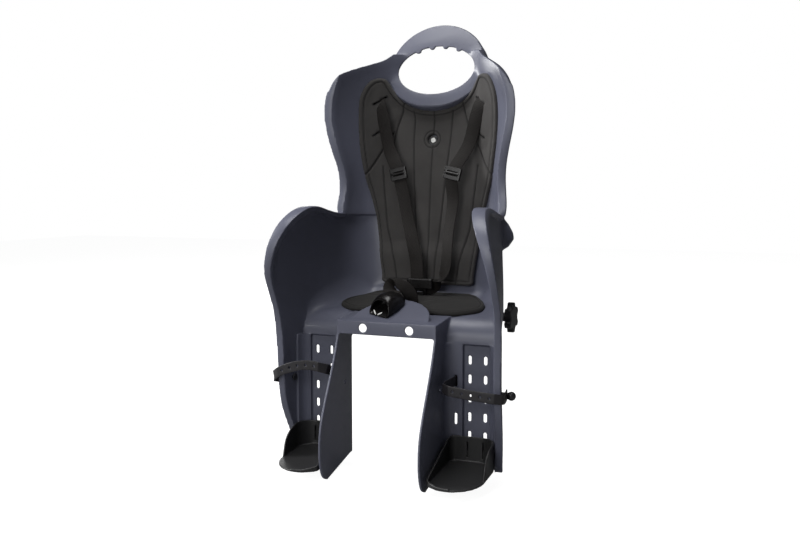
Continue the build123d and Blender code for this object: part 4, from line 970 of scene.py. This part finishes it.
# Right half of the seat pad, the arc that it leaves free for the hump, and the crotch strap's slot, in mm
SEAT_HALF = [(70, -62), (90, -60.5), (109, -53), (128, -38), (136, -22), (133, 4), (117, 34), (103, 50),
             (88, 56)]
HUMP_RADIUS = 75
HUMP_Y = -124
HUMP_REACH = 70
HUMP_POINTS = 15
HUMP_SPAN = (math.radians(55), math.radians(125))
CROTCH_SLOT = ((0, -28), 30, 6, 0)
SEAT_PUFF = 4.0
SEAT_SOFTEN = 40
seat_right = spline(SEAT_HALF, EDGE_STEPS).tolist()
seat_outline = seat_right + [(-x, y) for x, y in reversed(seat_right)]
for turn in np.linspace(*HUMP_SPAN, HUMP_POINTS)[::-1]:
    spot = (HUMP_RADIUS * math.cos(turn), HUMP_Y + HUMP_RADIUS * math.sin(turn))
    if abs(spot[0]) < HUMP_REACH:
        seat_outline.append(spot)
pad_piece("seat_pad_sewn", "seat_pad", seat_outline, [slot_loop(*CROTCH_SLOT)], [], [], (0, 1, 2, 1),
          SEAT_PUFF, SEAT_SOFTEN, SHADED_SEAT_PAD)


# Webbing

# Width of the webbing, thickness of the shoulder and the crotch webbing in mm, steps between the points of
# its path, and points of its rounded edge
WEB_WIDTH = 25
SHOULDER_THICK = 1.6
CROTCH_THICK = 1.8
WEB_STEPS = 8
WEB_EDGE = 5


def band(name, node, path, widths, thick):
    """A strap along path with its width along widths: a flat section with round edges and its own UV map."""
    line = spline(path, WEB_STEPS)
    across = spline(widths, WEB_STEPS)
    section = []
    for k in range(WEB_EDGE):
        a = math.pi / 2 - math.pi * k / (WEB_EDGE - 1)
        section.append((WEB_WIDTH / 2 - thick / 2 + thick / 2 * math.cos(a), thick / 2 * math.sin(a)))
    section += [(-x, y) for x, y in reversed(section)]
    count = len(section)
    steps = np.gradient(line, axis=0)
    points = []
    for spot, step, side in zip(line, steps, across):
        along = unit(step)
        wide = unit(side - along * (side @ along))
        up = np.cross(wide, along)
        points += [spot + wide * x + up * y for x, y in section]
    faces = []
    rows = len(line)
    for row in range(rows - 1):
        for k in range(count):
            a, b = row * count + k, row * count + (k + 1) % count
            faces.append((a, b, b + count, a + count))
    faces.append(tuple(range(count))[::-1])
    faces.append(tuple((rows - 1) * count + k for k in range(count)))
    mesh = mesh_from(name, np.array(points) * MM, faces)
    length = np.concatenate([[0], np.cumsum(np.linalg.norm(np.diff(line, axis=0), axis=1))]) * MM
    layer = mesh.uv_layers.new(name="UVMap")
    for loop in mesh.loops:
        row, k = divmod(loop.vertex_index, count)
        layer.data[loop.index].uv = (section[k][0] * MM, length[row])
    shape = bmesh.new()
    shape.from_mesh(mesh)
    bmesh.ops.recalc_face_normals(shape, faces=shape.faces)
    shape.to_mesh(mesh)
    shape.free()
    piece = new_piece(name, mesh)
    finish_piece(piece, node, "seat", WEB)


# The webbing's paths in mm, and the directions of its width along them
SLIDERS = {side: tuple(axes_of("strap_adjuster_" + side)[0]) for side in SIDES}
STRAPS = {
    "left": [(-104, 100, 403), (-106, 88, 405), (-106, 77, 405), (-101, 70.5, 394), (-93, 69.5, 371),
             (-79, 66.5, 312), SLIDERS["left"], (-32, 48, 176), (-13, 36, 112), (-8, 30, 84), (-7, 27, 62)],
    "right": [(104, 100, 401), (103, 88, 400.5), (103, 77, 400), (98, 70.5, 390), (91, 70.5, 368),
              (78, 68.5, 318), SLIDERS["right"], (53, 54, 215), (48, 48, 163), (46.5, 42, 123), (45, 37, 92),
              (36, 33, 70), (20, 31, 57), (7, 28, 57)],
}
SLOT_WAY = (0.79, 0.3, 0.53)
LEVEL = (1, 0, 0)
TURNED = (0.92, -0.39, 0)
RIGHT_END = [(0.97, -0.2, 0), TURNED, TURNED, (0.9, -0.3, 0.3), (0.65, -0.3, 0.7), (0.3, -0.1, 0.95),
             (0.2, 0, 0.98)]
for side, sign in (("left", -1), ("right", 1)):
    in_slot = (SLOT_WAY[0], -sign * SLOT_WAY[1], -sign * SLOT_WAY[2])
    widths = [in_slot, in_slot, in_slot, tuple(np.add(in_slot, LEVEL)), LEVEL]
    widths += [LEVEL] * (len(STRAPS[side]) - len(widths))
    if side == "right":
        widths[-len(RIGHT_END):] = RIGHT_END
    band("shoulder_webbing_" + side, "shoulder_strap_" + side, STRAPS[side], widths, SHOULDER_THICK)
CROTCH = [(0, -26, 14), (3, -25, 28), (3, -25, 44), (-6, -27, 60), (-18, -32, 68), (-28, -40, 68),
          (-28, -49, 58), (-19, -55, 50), (-10, -59, 46)]
CROTCH_ACROSS = [LEVEL, (0.95, 0.2, 0), (0.85, 0.5, 0.1), (0.6, 0.75, 0.3), (0.4, 0.85, 0.3), (0.5, 0.8, 0.1),
                 (0.8, 0.5, -0.2), (0.95, -0.1, -0.1), (0.95, -0.29, -0.13)]
band("crotch_webbing", "crotch_strap", CROTCH, CROTCH_ACROSS, CROTCH_THICK)


# CAD nodes that keep their own mesh

STEEL_NODES = ("strap_anchor", "crotch_anchor", "clamp_screw", "clamp_nuts", "bridge_bolts", "bridge_washers",
               "bridge_nuts")
for node, own in NODES.items():
    if node == "pad_rivet" or node.startswith(STEEL_NODES):
        own.data.materials.clear()
        own.data.materials.append(RIVET if node == "pad_rivet" else STEEL)


# Studio

# Camera: focal length and sensor in mm, place in metres, tilt and turn in degrees, sight in metres
LENS = 42.98
SENSOR = 36.0
EYE = (0.650, -1.600, 0.245)
EYE_TILT = 85.03
EYE_TURN = 23
SIGHT = 50
# Lamps as (name, place, target, size, power), the floor's half size, drop, tone and glow for the camera,
# and the world's strength for soft light, for reflections and for the camera
LAMPS = [
    ("key", (-3.0, -0.7, 1.4), (0, -0.05, 0.15), 1.0, 146),
    ("front", (-0.4, -2.8, 0.9), (0, 0, 0.1), 1.2, 34),
    ("top", (-0.3, -0.5, 2.4), (0, 0, 0.1), 1.4, 54),
    ("back", (-2.2, 2.2, 0.35), (0, 0, 0.1), 1.4, 32),
]
FLOOR_HALF = 6
FLOOR_DROP = 0.001
FLOOR_TONE = (0.25, 0.25, 0.25, 1)
FLOOR_GLOW = 0.93
SOFT_LIGHT = 0.18
REFLECTED = 0.06
BACKDROP = 1.0
WHITE = (1, 1, 1, 1)


def camera():
    lens = bpy.data.cameras.new("camera")
    lens.lens = LENS
    lens.sensor_width = SENSOR
    lens.clip_end = SIGHT
    eye = bpy.data.objects.new("camera", lens)
    eye.location = EYE
    eye.rotation_euler = Euler((math.radians(EYE_TILT), 0, math.radians(EYE_TURN)))
    bpy.context.scene.collection.objects.link(eye)
    bpy.context.scene.camera = eye


def pale_floor():
    """A floor that is white for the camera and grey for the seat."""
    corners = [(x * FLOOR_HALF, y * FLOOR_HALF, 0) for x, y in ((-1, -1), (1, -1), (1, 1), (-1, 1))]
    mesh = mesh_from("floor", corners, [(0, 1, 2, 3)])
    floor = new_piece("floor", mesh)
    floor.location.z = CAD_BOX[0][2] - FLOOR_DROP
    material = bpy.data.materials.new("pale floor")
    tree = node_tree(material)
    shader = tree.nodes["Principled BSDF"]
    shader.inputs["Base Color"].default_value = FLOOR_TONE
    shader.inputs["Roughness"].default_value = 0.9
    shader.inputs["Specular IOR Level"].default_value = 0.1
    path = tree.nodes.new("ShaderNodeLightPath")
    glow = tree.nodes.new("ShaderNodeMath")
    glow.operation = "MULTIPLY"
    link(tree, path, "Is Camera Ray", glow, 0)
    glow.inputs[1].default_value = FLOOR_GLOW
    shader.inputs["Emission Color"].default_value = WHITE
    tree.links.new(glow.outputs[0], shader.inputs["Emission Strength"])
    mesh.materials.append(material)


def backdrop():
    """A white world that lights the seat softly and is dimmer still in its reflections."""
    world = bpy.data.worlds.new("studio")
    bpy.context.scene.world = world
    world.use_nodes = True
    tree = world.node_tree
    back = tree.nodes["Background"]
    path = tree.nodes.new("ShaderNodeLightPath")
    dim = tree.nodes.new("ShaderNodeMapRange")
    dim.inputs["To Min"].default_value = SOFT_LIGHT
    dim.inputs["To Max"].default_value = REFLECTED
    level = tree.nodes.new("ShaderNodeMix")
    level.inputs["B"].default_value = BACKDROP
    link(tree, path, "Is Glossy Ray", dim, "Value")
    link(tree, dim, "Result", level, "A")
    link(tree, path, "Is Camera Ray", level, "Factor")
    link(tree, level, "Result", back, "Strength")
    back.inputs["Color"].default_value = WHITE


def lamps():
    for name, place, target, size, power in LAMPS:
        light = bpy.data.lights.new(name, "AREA")
        light.size = size
        light.energy = power
        lamp = bpy.data.objects.new(name, light)
        lamp.location = place
        lamp.rotation_euler = (Vector(target) - Vector(place)).to_track_quat("-Z", "Y").to_euler()
        bpy.context.scene.collection.objects.link(lamp)


camera()
pale_floor()
backdrop()
lamps()
bpy.context.scene.view_settings.view_transform = "Standard"
